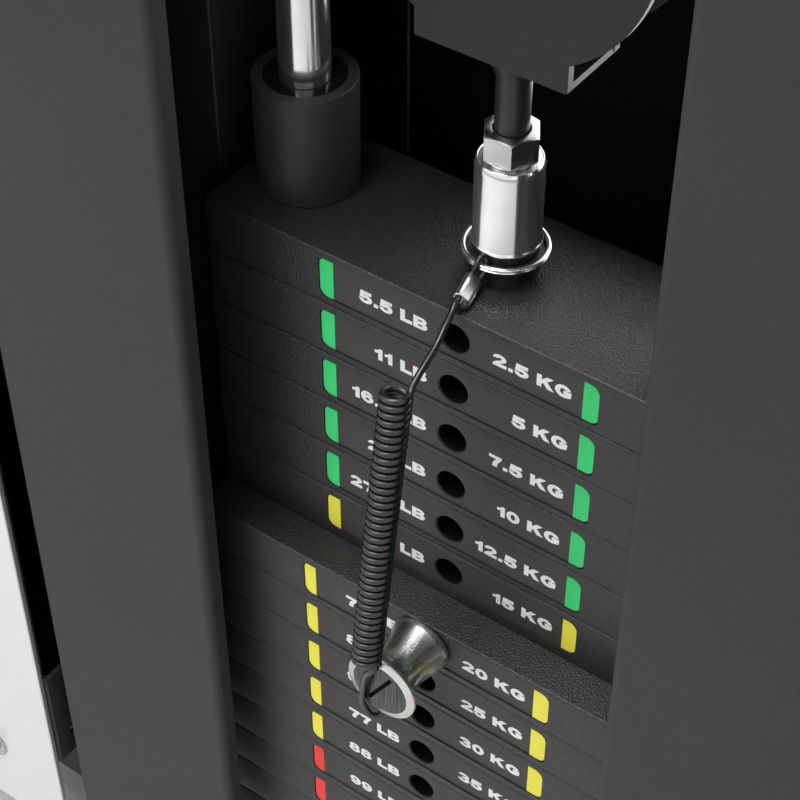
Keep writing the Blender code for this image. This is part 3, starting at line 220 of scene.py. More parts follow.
def metal(name, dark, light, rough_low, rough_high, stretch=(1, 1, 1), grain=900, depth=0.00001,
          metallic=1.0):
    """A bare or plated metal with faint wear marks along one direction."""
    look = Look(name, light, rough_high, metallic)
    look.shade(look.noise(30, 3), dark, light)
    look.gloss(look.noise(grain * 0.2, 4, stretch), rough_low, rough_high)
    look.relief(look.noise(grain, 3, stretch), depth)
    return look


plate_coat = Look("plate_coat", (0.020, 0.020, 0.021), 0.36, Specular_IOR_Level=0.45)
plate_coat.shade(plate_coat.noise(14, 4), (0.017, 0.017, 0.018), (0.023, 0.023, 0.024))
plate_coat.gloss(plate_coat.noise(320, 3), 0.33, 0.46)
plate_coat.relief(plate_coat.cells(1050, 0.8), 0.00030, 0.9)
plate_coat.relief(plate_coat.noise(1500, 2), 0.00008, 0.6)
frame_coat = coat("frame_coat", (0.016, 0.016, 0.017), (0.022, 0.022, 0.023), 0.42, 0.55, 1900, 0.00006,
                  sheen=0.3)
zinc = metal("zinc", (0.50, 0.50, 0.52), (0.64, 0.64, 0.66), 0.24, 0.4, (1, 1, 1), 700, 0.000004)
# Near-black painted shade for insides, holes, gaps and slot floors, where little light reaches.
painted_shade = coat("painted_shade", (0.0030, 0.0030, 0.0031), (0.0042, 0.0042, 0.0043), 0.6, 0.75, 1900,
                  0.00005,
                  sheen=0.06)
shroud_coat = coat("shroud_coat", (0.038, 0.038, 0.039), (0.044, 0.044, 0.045), 0.52, 0.64, 2300, 0.00008,
                   6, 0.25)
white_panel = coat("white_panel", (0.88, 0.88, 0.875), (0.92, 0.92, 0.92), 0.12, 0.2, 260, 0.00003, 3)
panel_edge = coat("panel_edge", (0.30, 0.285, 0.26), (0.36, 0.345, 0.32), 0.4, 0.5, 900, 0.00002)
chrome = metal("chrome", (0.76, 0.76, 0.77), (0.86, 0.86, 0.87), 0.13, 0.19, (1, 1, 0.06), 900, 0.0000015,
               0.93)
knob_chrome = metal("knob_chrome", (0.56, 0.55, 0.54), (0.74, 0.73, 0.72), 0.22, 0.32, (1, 0.08, 1), 900,
                    0.000003)
face_brushed = Look("face_brushed", (0.09, 0.09, 0.09), 0.40, 1.0)
face_brushed.shade(face_brushed.noise(1500, 4, (1, 1, 0.03)), (0.035, 0.035, 0.035), (0.15, 0.15, 0.15))
face_brushed.gloss(face_brushed.noise(1500, 4, (1, 1, 0.03)), 0.32, 0.46)
steel = metal("steel", (0.42, 0.42, 0.43), (0.56, 0.56, 0.57), 0.20, 0.34, (1, 1, 0.15))
nickel = metal("nickel", (0.50, 0.49, 0.48), (0.64, 0.63, 0.62), 0.28, 0.38, (1, 0.1, 1), 900, 0.000003)
yoke_coat = coat("yoke_coat", (0.016, 0.016, 0.017), (0.020, 0.020, 0.021), 0.42, 0.5, 2400, 0.00003, 12,
                 0.3)
# Light grey painted highlight for the yoke's cut edges and the rear cover's seam strip.
painted_edge_highlight = coat("painted_edge_highlight", (0.10, 0.10, 0.10), (0.15, 0.15, 0.15), 0.36, 0.48, 1500, 0.00004, 60)
stem_coat = coat("stem_coat", (0.018, 0.018, 0.018), (0.026, 0.026, 0.026), 0.30, 0.42, 1200, 0.00003, 40,
                 0.4)
rubber = coat("rubber", (0.014, 0.014, 0.014), (0.024, 0.024, 0.024), 0.62, 0.82, 1300, 0.00010, 25)
nylon = coat("nylon", (0.020, 0.020, 0.021), (0.030, 0.030, 0.031), 0.30, 0.42, 700, 0.00003, 40)
sleeve_matt = coat("sleeve_matt", (0.026, 0.026, 0.026), (0.032, 0.032, 0.032), 0.46, 0.56, 2600, 0.00004,
                   25, 0.35)
bush_gloss = coat("bush_gloss", (0.008, 0.008, 0.008), (0.012, 0.012, 0.012), 0.04, 0.08, 300, 0.000002, 40)
cord_jacket = coat("cord_jacket", (0.010, 0.010, 0.010), (0.015, 0.015, 0.015), 0.27, 0.33, 900, 0.000002,
                   90, 0.7)
cable_jacket = coat("cable_jacket", (0.012, 0.012, 0.012), (0.018, 0.018, 0.018), 0.28, 0.4, 1500, 0.00003,
                    30)
label_grey = coat("label_grey", (0.047, 0.044, 0.041), (0.055, 0.051, 0.048), 0.46, 0.56, 900, 0.00001, 50,
                  0.3)
tab_green = coat("tab_green", (0.020, 0.66, 0.17), (0.026, 0.74, 0.20), 0.42, 0.5, 900, 0.00001, 60)
tab_yellow = coat("tab_yellow", (0.96, 0.88, 0.06), (0.99, 0.94, 0.08), 0.42, 0.5, 900, 0.00001, 60)
tab_red = coat("tab_red", (0.92, 0.032, 0.026), (0.98, 0.040, 0.032), 0.42, 0.5, 900, 0.00001, 60)
print_white = coat("print_white", (0.88, 0.88, 0.88), (0.93, 0.93, 0.93), 0.42, 0.5, 900, 0.00001, 60)


# Shapes

def arc(centre, radius, start, end, steps):
    """Points on an arc, angles in degrees."""
    turns = [math.radians(start + (end - start) * i / steps) for i in range(steps + 1)]
    return [(centre[0] + radius * math.cos(a), centre[1] + radius * math.sin(a)) for a in turns]


def rounded(half_w, half_h, radii, steps=6):
    """A rectangle round the origin with corner radii: right top, left top, left bottom, right bottom."""
    radii = radii if isinstance(radii, tuple) else (radii,) * 4
    points = []
    for (sx, sy, start), r in zip(((1, 1, 0), (-1, 1, 90), (-1, -1, 180), (1, -1, 270)), radii):
        points += arc((sx * (half_w - r), sy * (half_h - r)), r, start, start + 90, steps)
    return points


def moved(points, dx, dy):
    return [(x + dx, y + dy) for x, y in points]


def circle(radius, steps):
    return arc((0, 0), radius, 0, 360, steps)[:-1]


def smooth_route(points, step):
    """Read evenly spaced points from a smooth curve through the given ones."""
    route = [Vector(p) for p in points]
    route = [route[0] * 2 - route[1]] + route + [route[-1] * 2 - route[-2]]
    fine = []
    for i in range(1, len(route) - 2):
        a, b, c, d = route[i - 1:i + 3]
        for k in range(ROUTE_STEPS):
            t = k / ROUTE_STEPS
            fine.append(0.5 * (2 * b + (c - a) * t + (2 * a - 5 * b + 4 * c - d) * t * t
                               + (3 * b - a - 3 * c + d) * t ** 3))
    fine.append(route[-2])
    even = [fine[0]]
    travel = 0.0
    for before, after in zip(fine, fine[1:]):
        travel += (after - before).length
        if travel >= step:
            even.append(after)
            travel = 0.0
    if (even[-1] - fine[-1]).length < step * 0.5:
        even.pop()
    even.append(fine[-1])
    return even


def smooth_profile(points, step):
    """A smooth outline through flat points."""
    return [(p.x, p.y) for p in smooth_route([(x, y, 0) for x, y in points], step)]


def turn_to(axis):
    """The turn that takes +Z to an axis."""
    return Vector((0, 0, 1)).rotation_difference(Vector(axis)).to_matrix().to_4x4()


def add(name, data):
    """Put data in the scene as a new object."""
    obj = bpy.data.objects.new(name, data)
    bpy.context.scene.collection.objects.link(obj)
    return obj


class Shape:
    """Closed forms in one mesh, each with its own material."""

    def __init__(self):
        self.bm = bmesh.new()
        self.mats = []

    def index(self, look):
        if look.mat not in self.mats:
            self.mats.append(look.mat)
        return self.mats.index(look.mat)

    def face(self, verts, look):
        if len(set(verts)) > 2:
            self.bm.faces.new(verts).material_index = self.index(look)

    def absorb(self, bm, look):
        """Take in another bmesh, all of it in one material."""
        bmesh.ops.recalc_face_normals(bm, faces=bm.faces)
        for face in bm.faces:
            face.material_index = self.index(look)
        mesh = bpy.data.meshes.new("absorbed")
        bm.to_mesh(mesh)
        bm.free()
        self.bm.from_mesh(mesh)
        bpy.data.meshes.remove(mesh)

    def paint(self, direction, look):
        """Give the faces that point one way another material."""
        self.bm.normal_update()
        for face in self.bm.faces:
            if face.normal.dot(Vector(direction)) > 0.9:
                face.material_index = self.index(look)

    def skin(self, rings, look, cyclic=False):
        """Join each ring of vertices to the next, and close both ends of an open row."""
        for near, far in zip(rings, rings[1:] + rings[:1] if cyclic else rings[1:]):
            for k in range(len(near)):
                j = (k + 1) % len(near)
                self.face([near[k], near[j], far[j], far[k]], look)
        if not cyclic:
            self.face(rings[0], look)
            self.face(rings[-1], look)

    def box(self, low, high, look, bevel=0.0, segments=2):
        bm = bmesh.new()
        size = Vector(high) - Vector(low)
        middle = (Vector(high) + Vector(low)) / 2
        bmesh.ops.create_cube(bm, size=1, matrix=Matrix.Translation(middle) @ Matrix.Diagonal((*size, 1)))
        if bevel:
            bmesh.ops.bevel(bm, geom=bm.edges[:], offset=bevel, segments=segments, profile=0.5,
                            affect="EDGES")
        self.absorb(bm, look)

    def lathe(self, outline, look, place=(0, 0, 0), axis=(0, 0, 1), steps=64, start=0.0, turn=360.0,
              looks=None):
        """Spin an outline of (radius, height) points. looks gives single spans another material."""
        matrix = Matrix.Translation(Vector(place)) @ turn_to(axis)
        whole = turn == 360.0
        count = steps if whole else steps + 1
        columns = []
        for radius, height in outline:
            if radius < 1e-7:
                vert = self.bm.verts.new(matrix @ Vector((0, 0, height)))
                columns.append([vert] * count)
                continue
            ring = []
            for k in range(count):
                angle = math.radians(start + turn * k / steps)
                ring.append(self.bm.verts.new(matrix @ Vector((radius * math.cos(angle), radius
                                                               * math.sin(angle),
                                                               height))))
            columns.append(ring)
        for i in range(len(outline)):
            near, far = columns[i], columns[(i + 1) % len(outline)]
            if near[0] is near[-1] and far[0] is far[-1]:
                continue
            span = looks.get(i, look) if looks else look
            for k in range(steps):
                j = (k + 1) % count
                verts = [near[k], near[j], far[j], far[k]]
                self.face(list(dict.fromkeys(verts)), span)
        if not whole:
            for k in (0, count - 1):
                self.face([column[k] for column in columns], look)

    def prism(self, loops, low, high, look, axis=2, wall=None):
        """Extrude an outline, and holes in it, along X (0), Y (1) or Z (2)."""
        loops = loops if isinstance(loops[0], list) else [loops]
        order = {0: (2, 0, 1), 1: (0, 2, 1), 2: (0, 1, 2)}[axis]
        flat = [p for loop in loops for p in loop]
        levels = []
        for height in (low, high):
            levels.append([self.bm.verts.new([(a, b, height)[i] for i in order]) for a, b in flat])
        for triangle in tessellate_polygon([[Vector((a, b, 0)) for a, b in loop] for loop in loops]):
            for level in levels:
                self.face([level[i] for i in triangle], look)
        first = 0
        for loop in loops:
            for i in range(len(loop)):
                here, after = first + i, first + (i + 1) % len(loop)
                self.face([levels[0][here], levels[0][after], levels[1][after], levels[1][here]],
                          wall or look)
            first += len(loop)

    def sweep(self, points, radius, look, sides=16, cyclic=False, up=None, tall=None):
        """A tube along points. With up, its section is radius wide and tall high along up."""
        points = [Vector(p) for p in points]
        count = len(points)
        rings = []
        side = Vector(up) if up else None
        for i, point in enumerate(points):
            before = points[i - 1] if i or cyclic else point
            after = points[(i + 1) % count] if i < count - 1 or cyclic else point
            along = (after - before).normalized()
            if side is None:
                side = along.orthogonal()
            lift = Vector(up) if up else side
            side = (lift - along * lift.dot(along)).normalized()
            across = along.cross(side)
            height = tall or radius
            ring = []
            for k in range(sides):
                angle = 2 * PI * k / sides
                ring.append(self.bm.verts.new(point + side * math.cos(angle) * height
                                              + across * math.sin(angle) * radius))
            rings.append(ring)
        self.skin(rings, look, cyclic)

    def mesh(self, name):
        bmesh.ops.recalc_face_normals(self.bm, faces=self.bm.faces)
        mesh = bpy.data.meshes.new(name)
        self.bm.to_mesh(mesh)
        self.bm.free()
        for mat in self.mats:
            mesh.materials.append(mat)
        return mesh

    @classmethod
    def taken(cls, mesh, look):
        """A form read back from a carved mesh of one material."""
        shape = cls()
        shape.bm.from_mesh(mesh)
        shape.mats = [look.mat]
        return shape

    def piece(self, name, body, slot, replaced=(), angle=SMOOTH_ANGLE):
        return put(self.mesh(name), name, body, replaced, angle=angle)


def put(mesh, name, body, replaced=(), place=(0, 0, 0), angle=SMOOTH_ANGLE):
    """Add a mesh to the scene as a piece that rides on a body."""
    mesh.shade_smooth()
    mesh.set_sharp_from_angle(angle=math.radians(angle))
    obj = add(name, mesh)
    obj.location = place
    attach(obj, body)
    if replaced:
        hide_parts(*replaced)
    return obj


def carve(base, tools, operation="DIFFERENCE"):
    """Cut shapes from a shape, or join them to it, and return the mesh. All share one list of materials."""
    for tool in tools:
        for mat in tool.mats:
            if mat not in base.mats:
                base.mats.append(mat)
    result = base.mesh("carved")
    for tool in tools:
        renumber = [base.mats.index(mat) for mat in tool.mats]
        for face in tool.bm.faces:
            face.material_index = renumber[face.material_index]
        tool.mats = list(base.mats)
        hosts = [add("host", result), add("tool", tool.mesh("tool"))]
        modifier = hosts[0].modifiers.new("carve", "BOOLEAN")
        modifier.operation = operation
        modifier.object = hosts[1]
        modifier.solver = "EXACT"
        graph = bpy.context.evaluated_depsgraph_get()
        result = bpy.data.meshes.new_from_object(hosts[0].evaluated_get(graph))
        for host in hosts:
            bpy.data.objects.remove(host)
    return result


def bar(radius, start, axis, length, look, steps):
    """A plain round form for cutting or joining."""
    shape = Shape()
    shape.lathe([(0, 0), (radius, 0), (radius, length), (0, length)], look, start, axis, steps)
    return shape


# Camera, light and floor

def set_stage():
    camera = add("camera", bpy.data.cameras.new("camera"))
    camera.location = (0.3637, -0.5898, 1.22675)
    camera.rotation_euler = (math.radians(90 - 43.964), 0, math.radians(35.663))
    camera.data.lens = 88.26
    camera.data.sensor_width = 36
    camera.data.clip_start = 0.02
    camera.data.clip_end = 60
    bpy.context.scene.camera = camera

    for name, place, aim, size, power, spread in LAMPS:
        light = bpy.data.lights.new(name, "AREA")
        light.shape = "RECTANGLE"
        light.size, light.size_y = size
        light.energy = power
        light.spread = math.radians(spread)
        lamp = add(name, light)
        lamp.location = place
        lamp.rotation_euler = (Vector(aim) - Vector(place)).to_track_quat("-Z", "Y").to_euler()
        lamp.visible_camera = False

    world = bpy.data.worlds.new("studio")
    world.use_nodes = True
    bpy.context.scene.world = world
    tree = world.node_tree
    background = tree.nodes["Background"]
    background.inputs["Color"].default_value = (1, 1, 1, 1)
    rays = tree.nodes.new("ShaderNodeLightPath")
    seen = rays.outputs["Is Camera Ray"]
    for ray in ("Is Glossy Ray", "Is Transmission Ray"):
        either = tree.nodes.new("ShaderNodeMath")
        either.operation = "MAXIMUM"
        tree.links.new(seen, either.inputs[0])
        tree.links.new(rays.outputs[ray], either.inputs[1])
        seen = either.outputs[0]
    level = tree.nodes.new("ShaderNodeMapRange")
    level.inputs["To Min"].default_value = WORLD_LEVEL
    level.inputs["To Max"].default_value = WORLD_SEEN
    tree.links.new(seen, level.inputs["Value"])
    tree.links.new(level.outputs["Result"], background.inputs["Strength"])
    bpy.context.scene.view_settings.view_transform = "Standard"

    floor = Shape()
    floor.prism(circle(FLOOR_R, 96), -0.02, -0.0005, floor_paint)
    obj = add("floor", floor.mesh("floor"))


FLOOR_R = 9.0
WORLD_LEVEL = 0.28
WORLD_SEEN = 0.95
LAMPS = [
    ("top_light", (-0.55, -0.60, 4.1), (-0.25, -0.25, 0.6), (1.3, 1.1), 75, 180),
    ("key_light", (-1.6, -2.6, 2.6), (0, 0, 0.7), (1.7, 1.7), 22, 180),
    ("floor_light", (-0.7, -1.5, 2.4), (-0.7, -1.5, 0), (1.4, 1.2), 15, 110),
    ("fill_light", (2.4, -1.8, 1.8), (0, 0, 0.7), (1.8, 1.8), 3, 180),
    ("back_light", (1.4, 3.0, 2.6), (0, 0, 1.0), (2.4, 2.4), 30, 180),
    ("bay_light", (0.040, 0.080, 0.800), (0.040, 0, 0.800), (0.20, 0.22), 0.3, 110),
]
floor_paint = coat("floor_paint", (0.74, 0.74, 0.735), (0.79, 0.79, 0.785), 0.55, 0.7, 40, 0.0003, 1.3)


# Lanyard

def along_front(x, y, z):
    """A lanyard point: y from the front of the light plates, z from the top pin hole."""
    return Vector((x, LIGHT_FRONT + y, TOP_HOLE_Z + z))


def above_pin(x, y, z):
    """A lanyard point: y from the front of the light plates, z from the axis of the pin."""
    return Vector((x, LIGHT_FRONT + y, PIN_Z + z))


COIL_TOP = along_front(0.0003, -0.0446, 0.0023)
COIL_LOW = above_pin(-0.0015, -0.0679, 0.0301)
FERRULE_TOP = along_front(-0.0041, 0.0190, 0.0227)
FERRULE_LOW = along_front(-0.0007, 0.0040, 0.0218)
KNOB_ENTRY = Vector((-0.0010, HEAVY_FRONT - 0.0195, PIN_Z - KNOB_WAIST_R - 0.0006))


def coil_points():
    """The curls of the lanyard, from the top down."""
    axis = (COIL_LOW - COIL_TOP).normalized()
    side = axis.cross(Vector((0, 1, 0))).normalized()
    front = axis.cross(side).normalized()
    radius = (COIL_D - CORD_D) / 2
    total = COIL_CURLS * CURL_POINTS
    start = math.radians(-20)
    points = []
    for i in range(total + 1):
        angle = start + 2 * PI * i / CURL_POINTS
        centre = COIL_TOP.lerp(COIL_LOW, i / total)
        points.append(centre + (side * math.cos(angle) + front * math.sin(angle)) * radius)
    return points


def lanyard_points():
    curls = coil_points()
    down = (FERRULE_LOW - FERRULE_TOP).normalized()
    first = FERRULE_LOW + down * CLEAR
    lead = [(0.0010, -0.0030, 0.0196), (0.0025, -0.0110, 0.0166), (0.0037, -0.0190, 0.0126),
            (0.0044, -0.0265, 0.0098), (0.0048, -0.0335, 0.0070), (0.0052, -0.0394, 0.0040)]
    lead = [first, first + down * CORD_D] + [along_front(*p) for p in lead]
    tail = [(0.0034, -0.0680, 0.0273), (0.0002, -0.0678, 0.0222), (-0.0028, -0.0665, 0.0172),
            (-0.0066, -0.0635, 0.0059), (-0.0089, -0.0617, -0.0052), (-0.0101, -0.0603, -0.0158),
            (-0.0089, -0.0590, -0.0226), (-0.0065, -0.0583, -0.0268), (-0.0035, -0.0545, -0.0288)]
    tail = [above_pin(*p) for p in tail]
    tail += [Vector((-0.0018, KNOB_ENTRY.y - 0.0065, KNOB_ENTRY.z - 0.0105)),
             Vector((-0.0010, KNOB_ENTRY.y - 0.0015, KNOB_ENTRY.z - 0.0085)),
             KNOB_ENTRY - Vector((0, 0, CORD_D)), KNOB_ENTRY]
    head = smooth_route(lead + [curls[0], curls[2]], 0.0022)
    head = [p for p in head if (p - curls[2]).length > 0.0030 and (p - curls[0]).length > 0.0008]
    foot = smooth_route([curls[-3], curls[-1]] + tail, 0.0022)
    foot = [p for p in foot[1:] if (p - curls[-3]).length > 0.0035]
    return head + curls + foot


def ferrule_frame():
    """The crimp's axis, the way across its two barrels, and the way up from them."""
    axis = (FERRULE_LOW - FERRULE_TOP).normalized()
    side = Vector((0, 0, 1)).cross(axis).normalized()
    side.rotate(Quaternion(axis, math.radians(-36)))
    return axis, side, side.cross(axis).normalized()


def lanyard():
    points = lanyard_points()
    curve = bpy.data.curves.new("lanyard_cord", "CURVE")
    curve.dimensions = "3D"
    curve.bevel_depth = CORD_D / 2
    curve.bevel_resolution = 5
    curve.use_fill_caps = True
    spline = curve.splines.new("POLY")
    spline.points.add(len(points) - 1)
    for target, point in zip(spline.points, points):
        target.co = (*point, 1)
    spline.use_smooth = True
    curve.materials.append(cord_jacket.mat)
    obj = add("lanyard_cord", curve)
    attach(obj, "stack")
    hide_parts("lanyard")
    crimp = ferrule()
    eye = lanyard_eye()


def ferrule():
    """The crimp: two barrels side by side, pressed into flats with fine grooves between them."""
    axis, side, lift = ferrule_frame()
    length = (FERRULE_LOW - FERRULE_TOP).length
    half, barrel, facets = 0.0020, 0.0025, 5
    outline = []
    for centre, start in ((half, -90), (-half, 90)):
        for k in range(facets):
            for turn, radius in ((k, barrel - 0.00024), (k + 0.07, barrel), (k + 0.93, barrel)):
                angle = math.radians(start + 180 * turn / facets)
                outline.append((centre + radius * math.cos(angle), radius * math.sin(angle)))
    shape = Shape()
    rings = []
    for along, grow in ((0, 0.93), (0.0004, 1), (length - 0.0004, 1), (length, 0.93)):
        centre = FERRULE_TOP + axis * along + side * half
        rings.append([shape.bm.verts.new(centre + side * a * grow + lift * b * grow) for a, b in outline])
    shape.skin(rings, nickel)
    return shape.piece("ferrule_crimp", "stack", "steel", ["ferrule"], angle=12)


def lanyard_eye():
    """The cord's eye, from one barrel over the split ring and back under it, and its cut end."""
    axis, side, lift = ferrule_frame()
    second = FERRULE_TOP + side * 0.0040
    route = [FERRULE_TOP + axis * 0.0020, FERRULE_TOP, FERRULE_TOP - axis * 0.0010,
             (-0.0026, -0.0219, 0.6575), (-0.0019, -0.0208, 0.6606), (-0.0017, -0.0190, 0.6624),
             (-0.0013, -0.0171, 0.6628), (-0.0003, -0.0163, 0.6612), (0.0005, -0.0165, 0.6584),
             (0.0006, -0.0180, 0.6556), (0.0001, -0.0197, 0.6534), second - axis * 0.0006,
             second + axis * 0.0020]
    shape = Shape()
    shape.sweep(smooth_route(route, 0.0005), 0.0014, cord_jacket, 18)
    end = FERRULE_LOW + side * 0.0040
    shape.sweep([end - axis * 0.0018, end + axis * 0.0008, end + axis * 0.0022], 0.0015, cord_jacket, 18)
    return shape.piece("lanyard_eye", "stack", "cord_black")


# Weight plates

def hole_height(number):
    return TOP_HOLE_Z - (number - 1) * PITCH - (LAST_LIGHT_EXTRA if number > LIGHT_COUNT else 0)


def plate_mesh(depth, with_boss, extra):
    """A plate round its pin hole, with label recess, pin hole and bores."""
    half_w, half_d, half_t = PLATE_W / 2, depth / 2, PLATE_T / 2
    low = -half_t - extra
    base = Shape()
    base.box((-half_w, -half_d, low), (half_w, half_d, half_t), plate_coat, PLATE_BEVEL, 4)
    if with_boss:
        top = half_t + BOSS_TOP - STACK_TOP
        foot = half_t - 0.004
        boss = Shape()
        boss.lathe([(0, foot), (0.0160, foot), (0.0160, top - 0.0060), (0.0152, top - 0.0052),
                    (0.0152, top - 0.0004), (0.0148, top), (0, top)], plate_coat, steps=72)
        base = Shape.taken(carve(base, [boss], "UNION"), plate_coat)
        half_t = top
    length = half_t - low + 0.002
    tools = []
    for side in (-1, 1):
        tools.append(bar(ROD_HOLE_R, (side * ROD_X, 0, low - 0.001), (0, 0, 1), length, plate_coat, 56))
    tools.append(bar(SELECTOR_HOLE_R, (0, 0, low - 0.001), (0, 0, 1), length, plate_coat, 48))
    recess = Shape()
    recess.prism(rounded(LABEL_W / 2 + CLEAR, LABEL_H / 2 + CLEAR, (0.0052, 0.0027, 0.0052, 0.0027)),
                 -half_d - 0.002, -half_d + LABEL_RECESS, plate_coat, 1)
    # The pin hole's wall and the ring round its mouth are painted near-black shade.
    hole = Shape()
    radius = PIN_HOLE_D / 2
    hole.lathe([(0, -0.003), (radius + 0.0004, -0.003), (radius + 0.0004, LABEL_RECESS),
                (radius, LABEL_RECESS + 0.0004),
                (radius, PIN_REACH), (0, PIN_REACH)], painted_shade, (0, -half_d, 0), (0, 1, 0), 64)
    return carve(base, tools + [recess, hole])


CAP_H = 0.0067
LETTER_STRETCH = 1.077
LETTER_GROW = 0.022
LETTER_GAP = 0.12
SPACE_W = 0.52
PRINT_T = 0.00012
LABEL_T = 0.0004


def oval(x, y, rx, ry, start, end, steps=12):
    return [(x + rx * a, y + ry * b) for a, b in arc((0, 0), 1, start, end, steps)]


def glyph_outlines():
    """Heavy wide figures and capitals, one unit tall, as width and loops."""
    six = oval(0.50, 0.50, 0.50, 0.52, 48, 262) + oval(0.53, 0.33, 0.46, 0.35, -88, 96)
    six += [(0.38, 0.66), (0.29, 0.58)] + oval(0.50, 0.70, 0.20, 0.12, 175, 15, 8) + [(0.93, 0.73)]
    bowl = oval(0.52, 0.32, 0.19, 0.155, 0, 360, 20)[:-1]
    return {
        "0": (1.0, [oval(0.5, 0.5, 0.5, 0.52, 0, 360, 28)[:-1],
                    oval(0.5, 0.5, 0.21, 0.31, 0, 360, 20)[:-1]]),
        "1": (0.68, [[(0.34, 0), (0.64, 0), (0.64, 1), (0.42, 1), (0.36, 0.90), (0.25, 0.82), (0.06, 0.78),
                      (0.06, 0.58), (0.34, 0.65)]]),
        "2": (1.0, [oval(0.50, 0.70, 0.47, 0.32, 178, -32) + [(0.62, 0.36), (0.48, 0.24), (0.99, 0.24),
                                                              (0.99, 0),
                    (0, 0), (0.03, 0.15), (0.22, 0.34), (0.55, 0.53)]
                    + oval(0.50, 0.69, 0.18, 0.12, -40, 172, 8)]),
        "3": (1.0, [oval(0.49, 0.735, 0.45, 0.285, 168, -44) + oval(0.49, 0.30, 0.50, 0.32, 48, -170)
                    + oval(0.49, 0.31, 0.20, 0.125, 190, 450, 8) + [(0.36, 0.435), (0.36, 0.60)]
                    + oval(0.49, 0.72, 0.17, 0.11, -90, 168, 8)]),
        "4": (1.0, [[(0.50, 0), (0.81, 0), (0.81, 0.20), (0.99, 0.20), (0.99, 0.43), (0.81, 0.43),
                     (0.81, 1),
                     (0.50, 1), (0, 0.43), (0, 0.20), (0.50, 0.20)],
                     [(0.24, 0.43), (0.50, 0.43), (0.50, 0.73)]]),
        "5": (1.0, [[(0.12, 1), (0.94, 1), (0.94, 0.77), (0.37, 0.77), (0.35, 0.65)]
                    + oval(0.49, 0.335, 0.51, 0.355, 100, -170) + [(0.29, 0.30)]
                    + oval(0.48, 0.32, 0.21, 0.14, -155, 140, 10) + [(0.04, 0.43)]]),
        "6": (1.0, [six, bowl]),
        "7": (0.96, [[(0.02, 1), (0.96, 1), (0.96, 0.80), (0.77, 0.55), (0.65, 0.28), (0.61, 0), (0.29, 0),
                      (0.33, 0.28), (0.46, 0.56), (0.62, 0.76), (0.02, 0.76)]]),
        "8": (1.0, [oval(0.5, 0.29, 0.50, 0.31, 138, 402) + oval(0.5, 0.745, 0.45, 0.275, -34, 214),
                    oval(0.5, 0.29, 0.20, 0.13, 0, 360, 18)[:-1],
                    oval(0.5, 0.73, 0.17, 0.105, 0, 360, 18)[:-1]]),
        "9": (1.0, [[(1 - x, 1 - y) for x, y in loop] for loop in (six, bowl)]),
        ".": (0.38, [[(0.05, 0), (0.34, 0), (0.34, 0.25), (0.05, 0.25)]]),
        "L": (0.90, [[(0, 0), (0.88, 0), (0.88, 0.25), (0.32, 0.25), (0.32, 1), (0, 1)]]),
        "B": (1.04, [[(0, 0)] + oval(0.64, 0.285, 0.40, 0.285, -90, 56)
                     + oval(0.61, 0.75, 0.37, 0.25, -42, 90)
                     + [(0, 1)],
                     [(0.31, 0.19)] + oval(0.60, 0.295, 0.12, 0.105, -90, 90, 8) + [(0.31, 0.40)],
                     [(0.31, 0.61)] + oval(0.58, 0.71, 0.10, 0.10, -90, 90, 8) + [(0.31, 0.81)]]),
        "K": (1.20, [[(0, 0), (0.31, 0), (0.31, 0.27), (0.46, 0.43), (0.78, 0), (1.19, 0), (0.70, 0.61),
                      (1.13, 1), (0.72, 1), (0.31, 0.61), (0.31, 1), (0, 1)]]),
        "G": (1.16, [oval(0.58, 0.50, 0.58, 0.52, 26, 292) + [(1.12, 0.14), (1.15, 0.56), (0.62, 0.56),
                     (0.62, 0.34), (0.85, 0.34), (0.85, 0.26)] + oval(0.58, 0.50, 0.27, 0.28, -60, -330)]),
    }


GLYPHS = glyph_outlines()


def grown(loop, amount):
    """Move a closed outline outwards by an amount, or inwards if that is negative."""
    area = sum(a[0] * b[1] - b[0] * a[1] for a, b in zip(loop, loop[1:] + loop[:1]))
    amount = math.copysign(amount, area * amount)
    result = []
    for before, here, after in zip(loop[-1:] + loop[:-1], loop, loop[1:] + loop[:1]):
        one = Vector((here[0] - before[0], here[1] - before[1])).normalized()
        two = Vector((after[0] - here[0], after[1] - here[1])).normalized()
        along = (one + two).normalized()
        reach = amount / max(along.dot(one), 0.5)
        result.append((here[0] + along.y * reach, here[1] - along.x * reach))
    return result


def print_text(shape, text, right, low, front):
    """Print lettering on a label, its right end at right and its foot at low."""
    size = CAP_H * LETTER_STRETCH
    wide = sum(GLYPHS[c][0] + LETTER_GAP if c in GLYPHS else SPACE_W for c in text) - LETTER_GAP
    x = right - wide * size
    for c in text:
        if c not in GLYPHS:
            x += SPACE_W * size
            continue
        width, loops = GLYPHS[c]
        loops = [grown(loop, -LETTER_GROW if i else LETTER_GROW) for i, loop in enumerate(loops)]
        placed = [[(x + a * size, low + b * CAP_H) for a, b in loop] for loop in loops]
        shape.prism(placed, front - PRINT_T, front + PRINT_T, print_white, 1)
        x += (width + LETTER_GAP) * size


